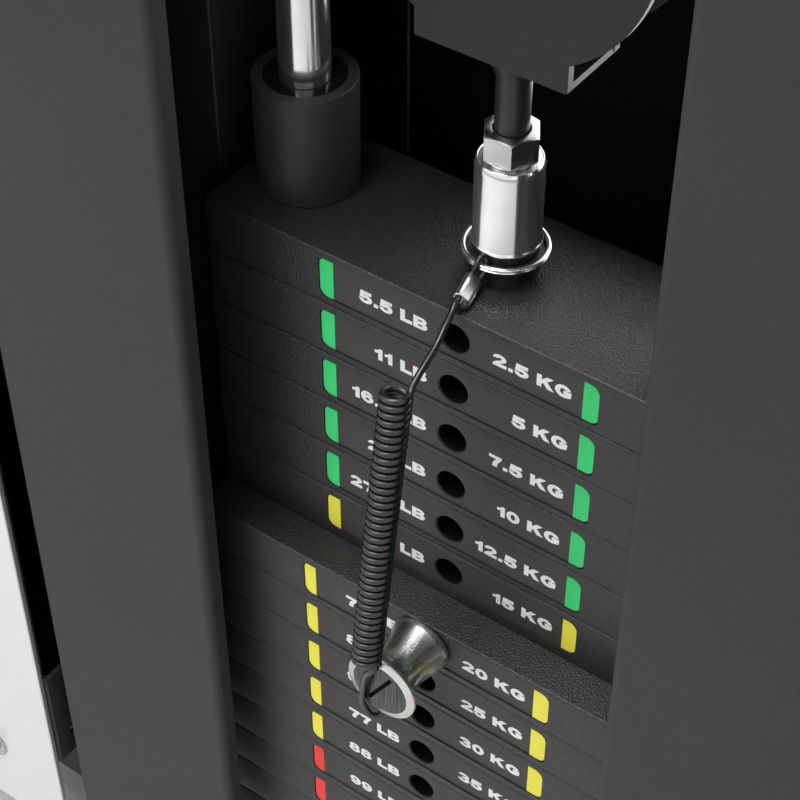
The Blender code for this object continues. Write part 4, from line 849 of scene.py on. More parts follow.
def label_mesh(number, depth):
    """Label strip, colour tabs and numbers of one plate, round its pin hole."""
    front = -depth / 2 + LABEL_RECESS - LABEL_T
    back = -depth / 2 + LABEL_RECESS
    heavy = number > LIGHT_COUNT
    left, right = (-0.0692, 0.0675) if heavy else (-0.0686, 0.0684)
    half_w, half_h = LABEL_W / 2, LABEL_H / 2
    shape = Shape()
    gap = 0.00015
    strip = [(left + gap, -half_h), (right - gap, -half_h), (right - gap, half_h), (left + gap, half_h)]
    shape.prism([strip, circle(0.0089, 56)[::-1]], front, back, label_grey, 1)
    tab = tab_green if number <= GREEN_COUNT else tab_yellow if number <= YELLOW_LAST else tab_red
    left_tab = [(left, -half_h), (left, half_h)]
    left_tab += arc((-half_w + 0.0036, half_h - 0.0036), 0.0036, 90, 180, 8)
    left_tab += arc((-half_w + 0.0048, -half_h + 0.0048), 0.0048, 180, 270, 10)
    right_tab = [(right, half_h), (right, -half_h)]
    right_tab += arc((half_w - 0.0036, -half_h + 0.0036), 0.0036, 270, 360, 8)
    right_tab += arc((half_w - 0.0048, half_h - 0.0048), 0.0048, 0, 90, 10)
    for outline in (left_tab, right_tab):
        shape.prism(outline, front - 0.0001, back, tab, 1)
    value = 2.5 * number if number <= LIGHT_COUNT else 20 + 5 * (number - LIGHT_COUNT - 1)
    kilos = f"{value:g} KG"
    # The photo's first three heavy plates carry the pounds of the next three
    repeat = 15 if 7 <= number <= 9 else 0
    pounds = f"{(value + repeat) * 2.2:g} LB"
    for text, edge in ((pounds, -0.0151), (kilos, 0.0624)):
        print_text(shape, text, edge, -0.0005 - CAP_H / 2, front)
    return shape.mesh(f"label_{number:02d}")


def weight_plates():
    meshes = {}
    for number in range(1, PLATE_COUNT + 1):
        depth = LIGHT_DEPTH if number <= LIGHT_COUNT else HEAVY_DEPTH
        kind = (depth, number == 1, LAST_LIGHT_EXTRA if number == LIGHT_COUNT else 0)
        if kind not in meshes:
            meshes[kind] = plate_mesh(*kind)
        node = f"plate_{number:02d}"
        body = "stack" if number <= PINNED_COUNT else "frame"
        place = (0, 0, hole_height(number))
        put(meshes[kind], node + "_body", body, [node], place)
        put(label_mesh(number, depth), f"label_{number:02d}", body, (), place)


# Head of the stack

def stack_head():
    rod = Shape()
    rod.lathe([(0, 0.1431), (0.010, 0.1431), (0.011, 0.1441), (0.011, BOSS_TOP - 0.0006),
               (0, BOSS_TOP - 0.0006)], steel, steps=48)
    rod.piece("selector_rod_bar", "stack", "steel", ["selector_rod"])

    flange = Shape()
    seat = RING_Z - 0.0015
    bite = math.degrees(math.atan2(-0.0192, -0.0031))
    flange.lathe([(0.0150, seat - 0.0012), (0.0183, seat - 0.0012), (0.0186, seat - 0.0009),
                  (0.0186, seat - 0.0004), (0.0183, seat - 0.0001), (0.0150, seat - 0.0001)], plate_coat,
                 steps=80, start=bite + 12, turn=336.0)
    flange.piece("ring_flange", "stack", "plate_black")

    wire = Shape()
    turns = 2
    count = 72
    spiral = []
    for i in range(turns * count + 1):
        angle = math.radians(20) + 2 * PI * i / count
        height = RING_Z - 0.00075 + 0.0015 * min(max((i / count - 0.75) / 0.5, 0), 1)
        spiral.append((0.0196 * math.cos(angle), 0.0196 * math.sin(angle), height))
    wire.sweep(spiral, 0.00135, chrome, 14, up=(0, 0, 1), tall=0.00074)
    wire.piece("split_ring", "stack", "chrome", ["lanyard_ring"])

    collar = Shape()
    top = COLLAR_TOP - COLLAR_LOW
    outline = [(0, 0.0003), (0.0150, 0.0003), (0.0157, 0.0001)]
    outline += arc((0.0157, 0.0011), 0.0010, -90, 60, 10)
    outline += [(0.0160, 0.0024)]
    outline += smooth_profile([(0.0160, top - 0.0034), (0.0159, top - 0.0026), (0.0156, top - 0.0014),
                               (0.0152, top - 0.0004)], 0.0003)
    outline += [(0.0150, top), (0.0146, top), (0.0143, top - 0.0005), (0.0082, top - 0.0005),
                (0.0082, 0.0176), (0, 0.0176)]
    collar.lathe(outline, chrome, (0, 0, COLLAR_LOW), steps=96)
    collar.piece("collar_chrome", "stack", "chrome", ["head_collar"], angle=50)

    low = COLLAR_TOP - 0.0005 + CLEAR
    high = low + 0.0155
    reach = 0.024 / math.sqrt(3)
    nut = Shape()
    nut.prism(arc((0, 0), reach, -57, 303, 6)[:-1], low - 0.0005, high + 0.0005, steel)
    round_off = Shape()
    wide = reach + 0.0006
    round_off.lathe([(0, low), (0.0112, low), (0.0112, low + 0.0008), (0.0116, low + 0.0008),
                     (wide, low + 0.0008 + (wide - 0.0116) * 0.72), (wide, high - (wide - 0.0117) * 0.6),
                     (0.0117, high), (0, high)], steel, steps=96)
    shell = Shape.taken(carve(nut, [round_off], "INTERSECT"), steel)
    bore_tool = Shape()
    bore_tool.lathe([(0, low - 0.001), (0.0092, low - 0.001), (0.0082, low + 0.001), (0.0082, high - 0.001),
                     (0.0092, high + 0.001), (0, high + 0.001)], steel, steps=64)
    put(carve(shell, [bore_tool]), "jam_nut_hex", "stack", ["jam_nut"])

    stem = Shape()
    stem.lathe([(0, 0.6808), (STEM_R, 0.6808), (STEM_R, 0.7500), (0.0080, 0.7516), (0.0142, 0.7655),
                (0.0145, 0.7671), (0, 0.7671)], stem_coat, steps=72)
    stem.piece("stem_bar", "stack", "dark_steel", ["yoke_stem"])
    yoke()


def yoke_side(low, high):
    """One cheek of the yoke: a tab below a round guard disc."""
    half, corner, radius = 0.0378, 0.0012, 0.074
    rise = YOKE_AXLE_Z - YOKE_LOW
    meet = math.degrees(math.asin(half / radius))
    outline = arc((half - corner, corner), corner, -90, 0, 8)
    outline += arc((0, rise), radius, -90 + meet, 270 - meet, 96)
    outline += arc((-half + corner, corner), corner, 180, 270, 8)
    shape = Shape()
    # The cheeks' cut edges carry a light grey painted highlight.
    shape.prism([(x, z + YOKE_LOW) for x, z in outline], low, high, yoke_coat, 1, wall=painted_edge_highlight)
    return shape


def yoke():
    """The bent yoke: two cheeks and the floor that joins them, with the pulley's axle bolt."""
    out, thick = 0.0203, 0.004
    yoke_body = yoke_side(-out, -out + thick)
    rear = yoke_side(out - thick, out)
    floor = Shape()
    half = 0.0378 - 0.0004
    section = [(-out + 0.0005, YOKE_LOW + 0.0035), (-out + 0.0005, YOKE_LOW + 0.0004),
               (-out + 0.0012, YOKE_LOW + 0.00005), (out - 0.0012, YOKE_LOW + 0.00005),
               (out - 0.0005, YOKE_LOW + 0.0004), (out - 0.0005, YOKE_LOW + 0.0035)]
    # The floor's walls take the yoke coat; its two cut ends carry the light grey painted highlight.
    floor.prism(section, -half, half, painted_edge_highlight, 0, wall=yoke_coat)
    mesh = carve(yoke_body, [rear, floor], "UNION")
    put(mesh, "yoke_sheet", "stack", ["pulley_yoke"], angle=30)
    bolt = Shape()
    for side in (-1, 1):
        washer(bolt, (0, side * out, YOKE_AXLE_Z), (0, side, 0), 0.0125, 0.0012, steel)
        hex_head(bolt, (0, side * (out + 0.0012), YOKE_AXLE_Z), (0, side, 0), 0.0165, 0.0046, steel)
    bolt.lathe(rod(0.0078, -out, out, 0.0004), steel, (0, 0, YOKE_AXLE_Z), (0, 1, 0), 40)
    bolt.piece("yoke_bolt", "stack", "steel")


def rod(radius, low, high, chamfer):
    """The outline of a round bar with chamfered ends."""
    return [(0, low), (radius - chamfer, low), (radius, low + chamfer), (radius, high - chamfer),
            (radius - chamfer, high), (0, high)]


def washer(shape, place, axis, radius, thick, look):
    shape.lathe([(0, 0), (radius - 0.0002, 0), (radius, 0.0002), (radius, thick - 0.0002),
                 (radius - 0.0002, thick), (0, thick)], look, place, axis, 48)


def hex_head(shape, place, axis, across, tall, look):
    """A chamfered hexagon head."""
    reach = across / math.sqrt(3)
    matrix = Matrix.Translation(Vector(place)) @ turn_to(axis)
    rings = []
    for height, grow in ((0, 1), (tall - reach * 0.13, 1), (tall, 0.86)):
        rings.append([shape.bm.verts.new(matrix @ Vector((x * grow, y * grow, height)))
                      for x, y in arc((0, 0), reach, 15, 375, 6)[:-1]])
    shape.skin(rings, look)


def guide_parts():
    """Guide rods, sleeves with their glossy bushes, and the rubber cushions under the stack."""
    for side, label in SIDES:
        x = side * ROD_X
        bar_shape = Shape()
        bar_shape.lathe(rod(ROD_D / 2, 0.100, 1.933, 0.001), chrome, (x, 0, 0), steps=96)
        bar_shape.piece(f"rod_{label}", "frame", "chrome", [f"guide_rod_{label}"])

        low = STACK_TOP + CLEAR
        sleeve = Shape()
        outline = [(0.0199, 0.001), (0.0240, 0.0), (0.0247, 0.0), (0.0250, 0.0003), (0.0254, 0.0595)]
        outline += arc((0.0249, 0.0595), 0.0005, 0, 90, 5)
        outline += [(0.0202, 0.0600), (0.0199, 0.0597), (0.0199, 0.0300)]
        sleeve.lathe(outline, sleeve_matt, (x, 0, low), steps=96)
        sleeve.piece(f"sleeve_{label}", "stack", "sleeve_black", [f"guide_sleeve_{label}"], angle=40)
        bush = Shape()
        outline = [(0.0130, 0.0004), (0.0197, 0.0004), (0.0197, 0.0583)]
        outline += arc((0.0192, 0.0583), 0.0005, 0, 90, 4)
        outline += [(0.0136, 0.0588)] + arc((0.0134, 0.0584), 0.0004, 90, 180, 4)
        bush.lathe(outline, bush_gloss, (x, 0, low), steps=96)
        bush.piece(f"bush_{label}", "stack", "nylon", angle=50)

        cushion = Shape()
        outline = [(0.0128, 0.0), (0.0292, 0.0)] + arc((0.0292, 0.0008), 0.0008, -90, 0, 4)
        outline += smooth_profile([(0.0300, 0.0220), (0.0290, 0.0252), (0.0262, 0.0282), (0.0290, 0.0312),
                                   (0.0300, 0.0344)], 0.0012)
        outline += arc((0.0270, 0.0534), 0.0030, 0, 90, 8) + [(0.0128, 0.0564)]
        cushion.lathe(outline, rubber, (x, 0, 0.1083), steps=72)
        cushion.piece(f"cushion_{label}_rubber", "frame", "rubber", [f"cushion_{label}"], angle=50)


def selector_pin():
    """The pin and its spool knob. Its own +Z points to the front."""
    base = 0.0638
    end = base + 0.0367
    waist = smooth_profile([(0.0170, base + 0.0032), (0.0163, base + 0.0055), (0.0154, base + 0.0090),
                            (0.0143, base + 0.0140), (0.0134, base + 0.0190), (0.0132, base + 0.0232),
                            (0.0138, base + 0.0268), (0.0155, base + 0.0305), (0.0182, base + 0.0328),
                            (0.0202, base + 0.0337)], 0.0009)
    outline = [(0, 0.0415), (0.0040, 0.0415), (0.0055, 0.0430), (0.0055, base), (0.0160, base)]
    outline += arc((0.0160, base + 0.0010), 0.0010, -90, 0, 5)
    outline += waist + arc((0.0202, base + 0.0341), 0.0004, -60, 0, 3)
    outline += arc((0.0201, end - 0.0016), 0.0005, 0, 70, 4)
    outline += [(0.0167, end - 0.0001), (0.0164, end)]
    face_index = len(outline) - 1
    outline += [(0, end)]
    knob = Shape()
    knob.lathe(outline, knob_chrome, (0, 0, PIN_Z), (0, -1, 0), 120, looks={face_index: face_brushed})
    turn = Matrix.Rotation(math.radians(-31), 2)
    corners = [turn @ Vector(p) for p in rounded(0.0011, 0.0136, 0.0009, 5)]
    # The slot's floor is painted near-black shade, and its walls take the dark nylon look as painted shade.
    slot = Shape()
    slot.prism([(p.x, p.y + PIN_Z) for p in corners], -end - 0.001, -end + 0.0012, painted_shade, 1,
               wall=nylon)
    put(carve(knob, [slot]), "selector_knob", "selector_pin", ["selector_pin"], angle=40)


# Fixings

def button_bolt(shape, place, axis, radius, look):
    """A button-head bolt with a hex socket."""
    matrix = Matrix.Translation(Vector(place)) @ turn_to(axis)
    tall = 0.55 * radius
    levels = [(radius * 0.97, 0, False), (radius, tall * 0.12, False), (radius * 0.93, tall * 0.5, False),
              (radius * 0.78, tall * 0.84, False), (radius * 0.60, tall, False),
              (radius * 0.42, tall, True),
              (radius * 0.38, tall * 0.94, True), (radius * 0.38, tall * 0.35, True)]
    rings = []
    for reach, height, hexed in levels:
        ring = []
        for k in range(36):
            angle = 2 * PI * k / 36
            r = reach / math.cos((angle + PI / 6) % (PI / 3) - PI / 6) if hexed else reach
            ring.append(shape.bm.verts.new(matrix @ Vector((r * math.cos(angle), r * math.sin(angle),
                                                            height))))
        rings.append(ring)
    shape.skin(rings, look)


def hex_bolt(shape, place, axis, across=0.0165, tall=0.0055):
    """A washer with a hexagon head on it."""
    axis = Vector(axis)
    washer(shape, place, axis, across * 0.74, 0.0014, zinc)
    hex_head(shape, Vector(place) + axis * 0.0014, axis, across, tall, zinc)


def dress(look, *nodes):
    """Give nodes of the CAD model a look, and keep their shape."""
    for node in nodes:
        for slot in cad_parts[node].material_slots:
            slot.material = look.mat


# Shrouds, fascia and rear cover

def sheet_outline(path, thick):
    """A bent path and the same path set aside by its thickness."""
    flat = [Vector(p) for p in path]
    aside = []
    for i, point in enumerate(flat):
        ahead = flat[i + 1] - point if i < len(flat) - 1 else point - flat[i - 1]
        after = ahead.normalized()
        before = (point - flat[i - 1]).normalized() if i else after
        bisect = (before + after).normalized()
        aside.append(point + Vector((-bisect.y, bisect.x)) * thick / bisect.dot(before))
    return path + [tuple(p) for p in reversed(aside)]


def covers():
    low, high = RAIL_TOP + CLEAR, TOP_RAIL_Z - CLEAR
    r = 0.005
    for side, label in SIDES:
        path = [(-SHROUD_IN_X, SHROUD_FRONT + 0.0115)]
        path += arc((-SHROUD_IN_X - r, SHROUD_FRONT + r), r, 0, -90, 12)
        path += arc((-SHROUD_OUT_X + r, SHROUD_FRONT + r), r, 270, 180, 12)
        path += [(-SHROUD_OUT_X, 0.086)]
        if side > 0:
            path = [(-x, y) for x, y in path]
        shroud = Shape()
        shroud.prism(sheet_outline(path, side * SHROUD_T), low, high, shroud_coat)
        for height in (0.16, 1.02, 1.90):
            for y in (-0.066, 0.066):
                button_bolt(shroud, (side * SHROUD_OUT_X, y, height), (side, 0, 0), 0.0055, zinc)
        shroud.piece(f"shroud_{label}_sheet", "frame", "shroud_grey", [f"shroud_{label}"])

    rear = Shape()
    front, back = 0.0863, 0.0888
    rear.box((-SHROUD_OUT_X, front, low), (SHROUD_OUT_X, back, high), frame_coat, 0.0006, 2)
    # The cover's inner face is painted near-black shade, darker than its outer coat.
    rear.paint((0, -1, 0), painted_shade)
    # A thin light strip on the inner face: a painted highlight along a seam.
    rear.box((-0.1166, front - 0.0004, low + 0.002), (-0.1156, front + 0.0004, high - 0.002), painted_edge_highlight)
    for x in (-0.17, 0.0, 0.17):
        rear.box((x - 0.012, back - 0.0004, low + 0.03), (x + 0.012, back + 0.0016, high - 0.03),
                 frame_coat,
                 0.0012, 3)
    for height in (0.125, 0.72, 1.33, 1.935):
        for x in (-0.240, -0.085, 0.085, 0.240):
            button_bolt(rear, (x, back, height), (0, 1, 0), 0.0055, zinc)
    rear.piece("rear_cover_sheet", "frame", "frame_black", ["rear_cover"])

    panel = Shape()
    panel.box((-0.397, FASCIA_FRONT, 0.060), (-0.273, -0.0925, high), white_panel, 0.0011, 4)
    panel.paint((1, 0, 0), panel_edge)
    for height in (0.124, 1.020, 1.905):
        panel.lathe([(0, -0.0006), (0.0134, -0.0006), (0.0137, 0), (0.0137, 0.0012), (0.0131, 0.0018),
                     (0, 0.0018)],
                    steel, (FASCIA_X, FASCIA_FRONT, height), (0, -1, 0), 64)
        button_bolt(panel, (FASCIA_X, -0.0983, height), (0, -1, 0), 0.0088, steel)
    panel.piece("fascia_panel", "frame", "white_gloss", ["fascia"])
    # A near-black sheet behind the gap between fascia and shroud: painted shade.
    inner = Shape()
    path = [(-0.3430, -0.0880), (-0.3430, -0.0015), (-0.2577, -0.0015)]
    inner.prism(sheet_outline(path, 0.0015), low + 0.001, high - 0.001, painted_shade)
    inner.piece("gap_panel", "frame", "frame_black")
    dress(shroud_coat, "fascia_bracket")


# Frame

def tube_bar(shape, middle, half_w, half_h, wall, low, high, axis, look):
    """A rectangular tube with rounded corners."""
    outer = moved(rounded(half_w, half_h, 0.0016), *middle)
    inner = moved(rounded(half_w - wall, half_h - wall, 0.0008), *middle)
    shape.prism([outer, inner[::-1]], low, high, look, axis)


def frame_parts():
    dress(frame_coat, "base_frame", "top_frame", "rod_top_plate")
    dress(rubber, "centre_foot")
    for side, label in SIDES:
        upright = Shape()
        tube_bar(upright, (side * UPRIGHT_X, 0.012), 0.025, 0.030, 0.003, 0.1003, 1.9597, 2, frame_coat)
        for height in (0.13, 1.93):
            hex_bolt(upright, (side * UPRIGHT_X, -0.018, height), (0, -1, 0))
        upright.piece(f"upright_{label}_tube", "frame", "frame_black", [f"upright_{label}"])

        left, right = ((-0.620, -0.560) if side < 0 else (0.236, 0.276))
        middle = ((left + right) / 2, 0.0228)
        foot = Shape()
        tube_bar(foot, middle, (right - left) / 2, 0.0168, 0.003, -0.3470, 0.3470, 1, frame_coat)
        for end in (-1, 1):
            low, high = sorted((end * 0.3440, end * 0.3500))
            foot.box((left + 0.0004, low, 0.0064), (right - 0.0004, high, 0.0392), rubber, 0.0022, 3)
            foot.box((left + 0.006, end * 0.320 - 0.022, 0), (right - 0.006, end * 0.320 + 0.022, 0.0066),
                     rubber,
                     0.002, 3)
        foot.piece(f"foot_{label}", "frame", "frame_black", [f"foot_rail_{label}"])

    caps = Shape()
    for y in (-RAIL_Y, RAIL_Y):
        for x, turn in ((-0.620, 1), (0.276, -1)):
            near, far = sorted((x + turn * 0.0004, x + turn * 0.0080))
            caps.box((near, y - 0.0125, 0.0425), (far, y + 0.0125, 0.0975), rubber, 0.001)
        for x, turn in ((-0.595, 1), (0.236, -1)):
            near, far = sorted((x + turn * 0.0004, x + turn * 0.0080))
            caps.box((near, y - 0.0125, 1.9625), (far, y + 0.0125, 2.0425), rubber, 0.001)
    caps.piece("rail_caps", "frame", "rubber")

    bolts = Shape()
    for x, z in (COLUMN_TOP, TOP_LEFT, TOP_RIGHT, OUTER_RIGHT, BASE_RIGHT, COLUMN_BASE):
        for side in (-1, 1):
            hex_bolt(bolts, (x, side * 0.045, z), (0, side, 0), 0.019, 0.0065)
    for x in (-0.590, 0.266):
        for y in (-RAIL_Y, RAIL_Y):
            button_bolt(bolts, (x, y, RAIL_TOP), (0, 0, 1), 0.0065, zinc)
    for x in (-UPRIGHT_X, UPRIGHT_X):
        for y in (-RAIL_Y, RAIL_Y):
            button_bolt(bolts, (x, y, 2.0405), (0, 0, 1), 0.0075, zinc)
    for side in (-1, 1):
        collar = [(0.0128, 0.0), (0.0196, 0.0), (0.0200, 0.0004), (0.0200, 0.0116), (0.0196, 0.0120),
                  (0.0128, 0.0120)]
        bolts.lathe(collar, zinc, (side * ROD_X, 0, 1.9128), steps=56)
        button_bolt(bolts, (side * ROD_X, -0.0199, 1.9188), (0, -1, 0), 0.0030, steel)
    bolts.piece("frame_bolts", "frame", "steel")


def column():
    """The column's tube with its row of locking holes."""
    post = Shape()
    tube_bar(post, (COLUMN_X, COLUMN_Y), 0.025, 0.025, 0.003, RAIL_TOP + 0.0083, 1.9517, 2, frame_coat)
    holes = Shape()
    # The holes' walls are painted near-black shade.
    for i in range(15):
        holes.lathe(rod(0.0065, -0.003, 0.004, 0.0002), painted_shade,
                    (COLUMN_X - 0.025, COLUMN_Y, 0.4 + 0.1 * i),
                    (-1, 0, 0), 28)
    put(carve(post, [holes]), "column_tube", "frame", ["column"], angle=30)


# Pulleys and drive cable

def pulley_mesh(turn_r, lip, axle, hub, rim, windows):
    """A grooved pulley round +Z with a sealed bearing, thin web and lightening holes."""
    inner, boss, outer = axle + CLEAR, axle + 0.0073, turn_r + lip
    web = 0.0036
    upper = [(inner, hub / 2 - 0.0004), (inner + 0.0004, hub / 2), (inner + 0.0030, hub / 2),
             (inner + 0.0034, hub / 2 - 0.0006), (boss - 0.0012, hub / 2 - 0.0006),
             (boss - 0.0008, hub / 2),
             (boss - 0.0002, hub / 2 - 0.0004), (boss + 0.0004, web + 0.0020), (boss + 0.0020, web),
             (turn_r - 0.0096, web), (turn_r - 0.0078, web + 0.0016), (turn_r - 0.0066, rim / 2 - 0.0006),
             (turn_r - 0.0058, rim / 2), (outer - 0.0010, rim / 2), (outer, rim / 2 - 0.0010),
             (outer, rim / 2 - 0.0024), (turn_r + 0.0004, 0.0031)]
    groove = [(turn_r + 0.0028 * math.cos(math.radians(a)), 0.0028 * math.sin(math.radians(a)))
              for a in (112, 135, 158)]
    half = upper + groove + [(turn_r - 0.0028, 0)]
    outline = [(r, -z) for r, z in half] + [(r, z) for r, z in half[-2::-1]]
    last = len(outline) - 1
    bearing = {i: steel for i in (0, 1, last, last - 1, last - 2)}
    seal = {i: bush_gloss for i in (2, 3, last - 3, last - 4)}
    shape = Shape()
    shape.lathe(outline, nylon, steps=96, looks={**bearing, **seal})
    middle = (boss + turn_r - 0.0076) / 2
    radius = (turn_r - 0.0096 - boss) / 2 - 0.0016
    tools = []
    for k in range(windows):
        angle = 2 * PI * k / windows
        tools.append(bar(radius, (middle * math.cos(angle), middle * math.sin(angle), -0.01), (0, 0, 1),
                         0.02,
                         nylon, 28))
    return carve(shape, tools)


def pulley(node, kind, place, axis):
    mesh = pulley_mesh(*kind)
    mesh.transform(turn_to(axis))
    put(mesh, node + "_wheel", node, [node], place, 32)


def pulleys():
    large = (LARGE_R, 0.0045, 0.008, 0.028, 0.018, 6)
    small = (SMALL_R, 0.004, 0.008, 0.028, 0.018, 0)
    floating = (FLOAT_R, 0.0045, 0.008, 0.031, 0.024, 6)
    for name, kind, (x, z) in (("column_top", large, COLUMN_TOP), ("top_left", large, TOP_LEFT),
                               ("top_right", large, TOP_RIGHT), ("outer_right", small, OUTER_RIGHT),
                               ("base_right", small, BASE_RIGHT), ("column_base", small, COLUMN_BASE),
                               ("floating", floating, (0, YOKE_AXLE_Z))):
        pulley(name + "_pulley", kind, (x, 0, z), (0, -1, 0))
    pulley("swivel_pulley", (SMALL_R, 0.004, 0.006, 0.0214, 0.016, 0), (COLUMN_X, -SMALL_R, CARRIAGE_Z),
           (1, 0, 0))


def wrap(centre, radius, start, end):
    return [(x, 0, z) for x, z in arc(centre, radius, start, end, 40)]


def straight(start, end, count):
    return [Vector(start).lerp(Vector(end), i / count) for i in range(count + 1)]


def cable_shape(route):
    shape = Shape()
    shape.sweep(route, CABLE_R, cable_jacket, 20)
    return shape


def stretched_run(name, route):
    """A run of cable between two bodies, made as one mesh fixed in place."""
    mesh = cable_shape(route).mesh(name)
    mesh.shade_smooth()
    mesh.set_sharp_from_angle(angle=math.radians(60))
    obj = add(name, mesh)
    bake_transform(obj)


def drive_cable():
    """The drive cable along its whole route, with its crimped end under the carriage."""
    high, low, joint, end = 1.960, 0.090, 1.020, 0.9167

    def over_column(z):
        return (COLUMN_X, 0, z)

    bend = [(COLUMN_X, y, z) for y, z in arc((-SMALL_R, CARRIAGE_Z), SMALL_R, -90, 0, 24)]
    stretched_run("cable_handle", straight((COLUMN_X, -0.0770, RUN_Z), bend[0], 10))
    cable_shape(bend + [over_column(joint)]).piece("cable_swivel", "swivel", "cord_black", angle=60)
    stretched_run("cable_column", straight(over_column(joint), over_column(high), 40))
    top = [over_column(high)] + wrap(COLUMN_TOP, LARGE_R, 180, 90) + wrap(TOP_LEFT, LARGE_R, 90, 0)
    cable_shape(top + [(-FLOAT_R, 0, high)]).piece("cable_top", "frame", "cord_black", angle=60)
    foot = YOKE_AXLE_Z + 0.020
    loop = straight((-FLOAT_R, 0, high), (-FLOAT_R, 0, foot), 48)
    loop += wrap((0, YOKE_AXLE_Z), FLOAT_R, 180, 360)
    loop += straight((FLOAT_R, 0, foot), (FLOAT_R, 0, high), 48)
    stretched_run("cable_loop", loop)
    right = [(FLOAT_R, 0, high)] + wrap(TOP_RIGHT, LARGE_R, 180, 90) + wrap(OUTER_RIGHT, SMALL_R, 90, 0)
    right += wrap(BASE_RIGHT, SMALL_R, 0, -90) + wrap(COLUMN_BASE, SMALL_R, -90, -180)
    cable_shape(right + [over_column(low)]).piece("cable_return", "frame", "cord_black", ["cable"],
                                                  angle=60)
    stretched_run("cable_anchor", straight(over_column(low), over_column(end), 36))
    crimp = Shape()
    crimp.lathe(rod(0.0046, 0.888, 0.9165, 0.0006), zinc, over_column(0), steps=32)
    crimp.piece("cable_crimp", "carriage", "steel", angle=60)


# Carriage and handle

def ring(shape, place, radius, wire, axis, look):
    shape.lathe([(radius + x, y) for x, y in circle(wire, 18)], look, place, axis, 48)


def carriage():
    """The carriage's dressing, its pop pin and the swivel's axle."""
    dress(frame_coat, "carriage")
    dress(yoke_coat, "swivel_yoke")
    trim = Shape()
    for height in (0.917, 1.0745):
        outer = moved(rounded(0.0317, 0.0317, 0.003), COLUMN_X, COLUMN_Y)
        inner = moved(rounded(0.0254, 0.0254, 0.003), COLUMN_X, COLUMN_Y)
        trim.prism([outer, inner[::-1]], height - 0.0012, height + 0.0016, nylon)
    for height in (0.945, 1.045):
        for y in (0.035, 0.067):
            button_bolt(trim, (COLUMN_X + 0.0318, y, height), (1, 0, 0), 0.0055, zinc)
    trim.piece("carriage_guides", "carriage", "nylon")

    pin = Shape()
    base, end = 0.0663, 0.0943
    pin.lathe([(0, 0.026), (0.0045, 0.026), (0.0060, 0.029), (0.0060, base + 0.001), (0, base + 0.001)],
              steel,
              (COLUMN_X, COLUMN_Y, CARRIAGE_Z), (-1, 0, 0), 40)
    outline = [(0, base), (0.0130, base), (0.0156, base + 0.0022)]
    for k in range(5):
        start = base + 0.0034 + k * 0.0038
        outline += [(0.0160, start), (0.0160, start + 0.0024), (0.0152, start + 0.0028),
                    (0.0152, start + 0.0034)]
    outline += arc((0.0125, end - 0.0035), 0.0035, 10, 90, 8) + [(0.0060, end), (0.0055, end - 0.0006),
                                                               (0, end - 0.0006)]
    pin.lathe(outline, nylon, (COLUMN_X, COLUMN_Y, CARRIAGE_Z), (-1, 0, 0), 64)
    pin.piece("pop_pin_knob", "pop_pin", "nylon", ["pop_pin"])

    axle = Shape()
    for side in (-1, 1):
        hex_bolt(axle, (COLUMN_X + side * 0.015, -SMALL_R, CARRIAGE_Z), (side, 0, 0), 0.016, 0.0050)
    axle.piece("swivel_axle", "swivel", "steel")


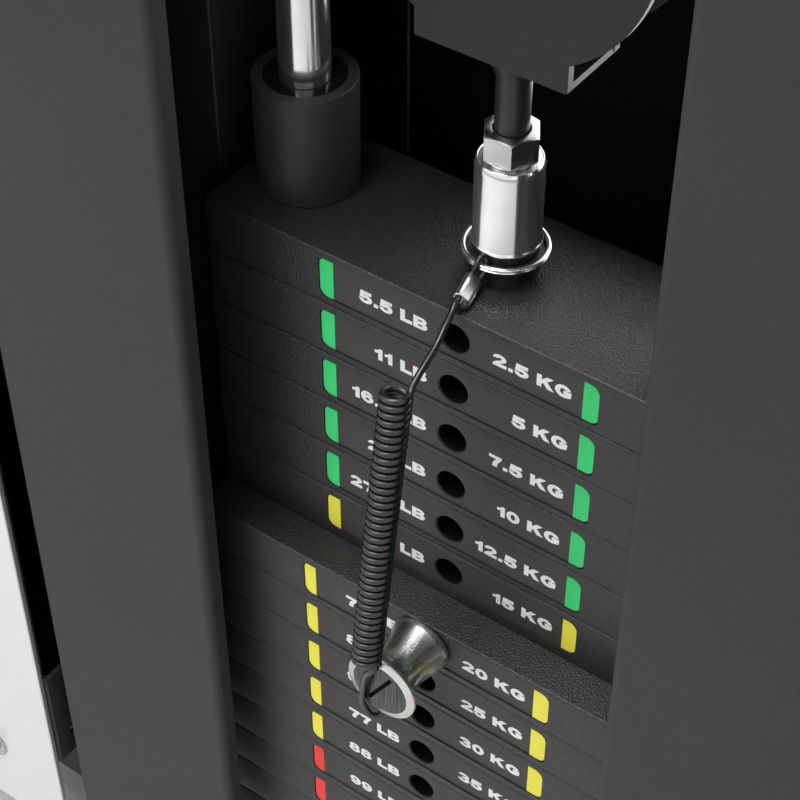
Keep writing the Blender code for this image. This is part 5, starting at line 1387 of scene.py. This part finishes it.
def handle_parts():
    """Stop ball, snap hook, stirrup and its turning grip."""
    ball = Shape()
    half = BALL_R * math.sin(math.radians(68))
    middle = 0.0743 + half
    outline = [(0.0034, 0.0743), (0.0060, 0.0743)] + arc((0, middle), BALL_R, -66, 62, 40)
    outline += [(0.0070, middle + 0.0160), (0.0034, middle + 0.0160)]
    ball.lathe(outline, rubber, (COLUMN_X, 0, RUN_Z), (0, -1, 0), 64)
    neck = middle + BALL_R + 0.006
    ball.lathe(rod(0.0050, middle - 0.012, neck, 0.0006), zinc, (COLUMN_X, 0, RUN_Z), (0, -1, 0), 40)
    ring(ball, (COLUMN_X, EYE_Y, RUN_Z), EYE_R, EYE_WIRE, (1, 0, 0), zinc)
    ball.piece("stop_ball_rubber", "hook", "rubber", ["stop_ball"])

    hook = Shape()
    loop = arc((COLUMN_X, HOOK_TOP - HOOK_BEND_R), HOOK_BEND_R, 0, 180, 20)
    loop += arc((COLUMN_X, HOOK_LOW + HOOK_BEND_R), HOOK_BEND_R, 180, 360, 20)
    hook.sweep([(x, EYE_Y, z) for x, z in loop], 0.003, chrome, 20, cyclic=True)
    gate = COLUMN_X + HOOK_BEND_R
    for low, high, radius in ((HOOK_LOW + 0.015, HOOK_LOW + 0.019, 0.0035),
                              (HOOK_TOP - 0.022, HOOK_TOP - 0.015,
                                                                            0.0036)):
        hook.lathe(rod(radius, low, high, 0.0004), steel, (gate, EYE_Y, 0), steps=32)
    hook.lathe(rod(0.0012, -0.0042, 0.0042, 0.0003), zinc, (gate, EYE_Y, HOOK_LOW + 0.017), (0, 1, 0), 20)
    hook.piece("snap_hook_wire", "handle", "chrome", ["snap_hook"], angle=60)

    bail = Shape()
    half, bend = 0.062, 0.022
    path = [(COLUMN_X - half, GRIP_Z - 0.004)]
    path += arc((COLUMN_X - half + bend, BAR_Z - bend), bend, 180, 90, 16)
    path += arc((COLUMN_X + half - bend, BAR_Z - bend), bend, 90, 0, 16)
    path += [(COLUMN_X + half, GRIP_Z - 0.004)]
    bail.sweep([(x, EYE_Y, z) for x, z in path], 0.004, chrome, 24)
    bail.lathe([(0, 0), (0.0058, 0.0), (0.0058, 0.0006), (0.0035, 0.0034), (0.0035, 0.0100), (0, 0.0100)],
               chrome,
               (COLUMN_X, EYE_Y, BAR_Z), steps=32)
    ring(bail, (COLUMN_X, EYE_Y, BAIL_EYE_Z), EYE_R, EYE_WIRE, (1, 0, 0), chrome)
    bail.lathe(rod(0.0050, -0.0650, 0.0650, 0.0008), steel, (COLUMN_X, EYE_Y, GRIP_Z), (1, 0, 0), 32)
    bail.piece("stirrup", "handle", "chrome", ["handle_bail"], angle=60)

    grip = Shape()
    end = 0.056
    outline = [(0.0053, -end), (0.0130, -end), (0.0154, 0.0012 - end), (0.0160, 0.004 - end)]
    for k in range(21):
        place = -0.0460 + k * 0.0046
        swell = 0.0160 + 0.0009 * math.cos(place / end * PI / 2)
        outline += [(swell, place - 0.0014), (swell, place + 0.0014), (swell - 0.0007, place + 0.0018),
                    (swell - 0.0007, place + 0.0028)]
    outline += [(0.0160, end - 0.004), (0.0154, end - 0.0012), (0.0130, end), (0.0053, end)]
    grip.lathe(outline, rubber, (COLUMN_X, EYE_Y, GRIP_Z), (1, 0, 0), 64)
    for side in (-1, 1):
        grip.lathe([(0.0053, end - 0.0002), (0.0095, end - 0.0002), (0.0100, end + 0.0002),
                    (0.0095, end + 0.0006),
                    (0.0053, end + 0.0006)], zinc, (COLUMN_X, EYE_Y, GRIP_Z), (side, 0, 0), 40)
    grip.piece("grip_rubber", "grip", "rubber", ["handle_grip"], angle=30)


set_stage()
lanyard()
weight_plates()
stack_head()
guide_parts()
selector_pin()
covers()
pulleys()
drive_cable()
frame_parts()
column()
carriage()
handle_parts()
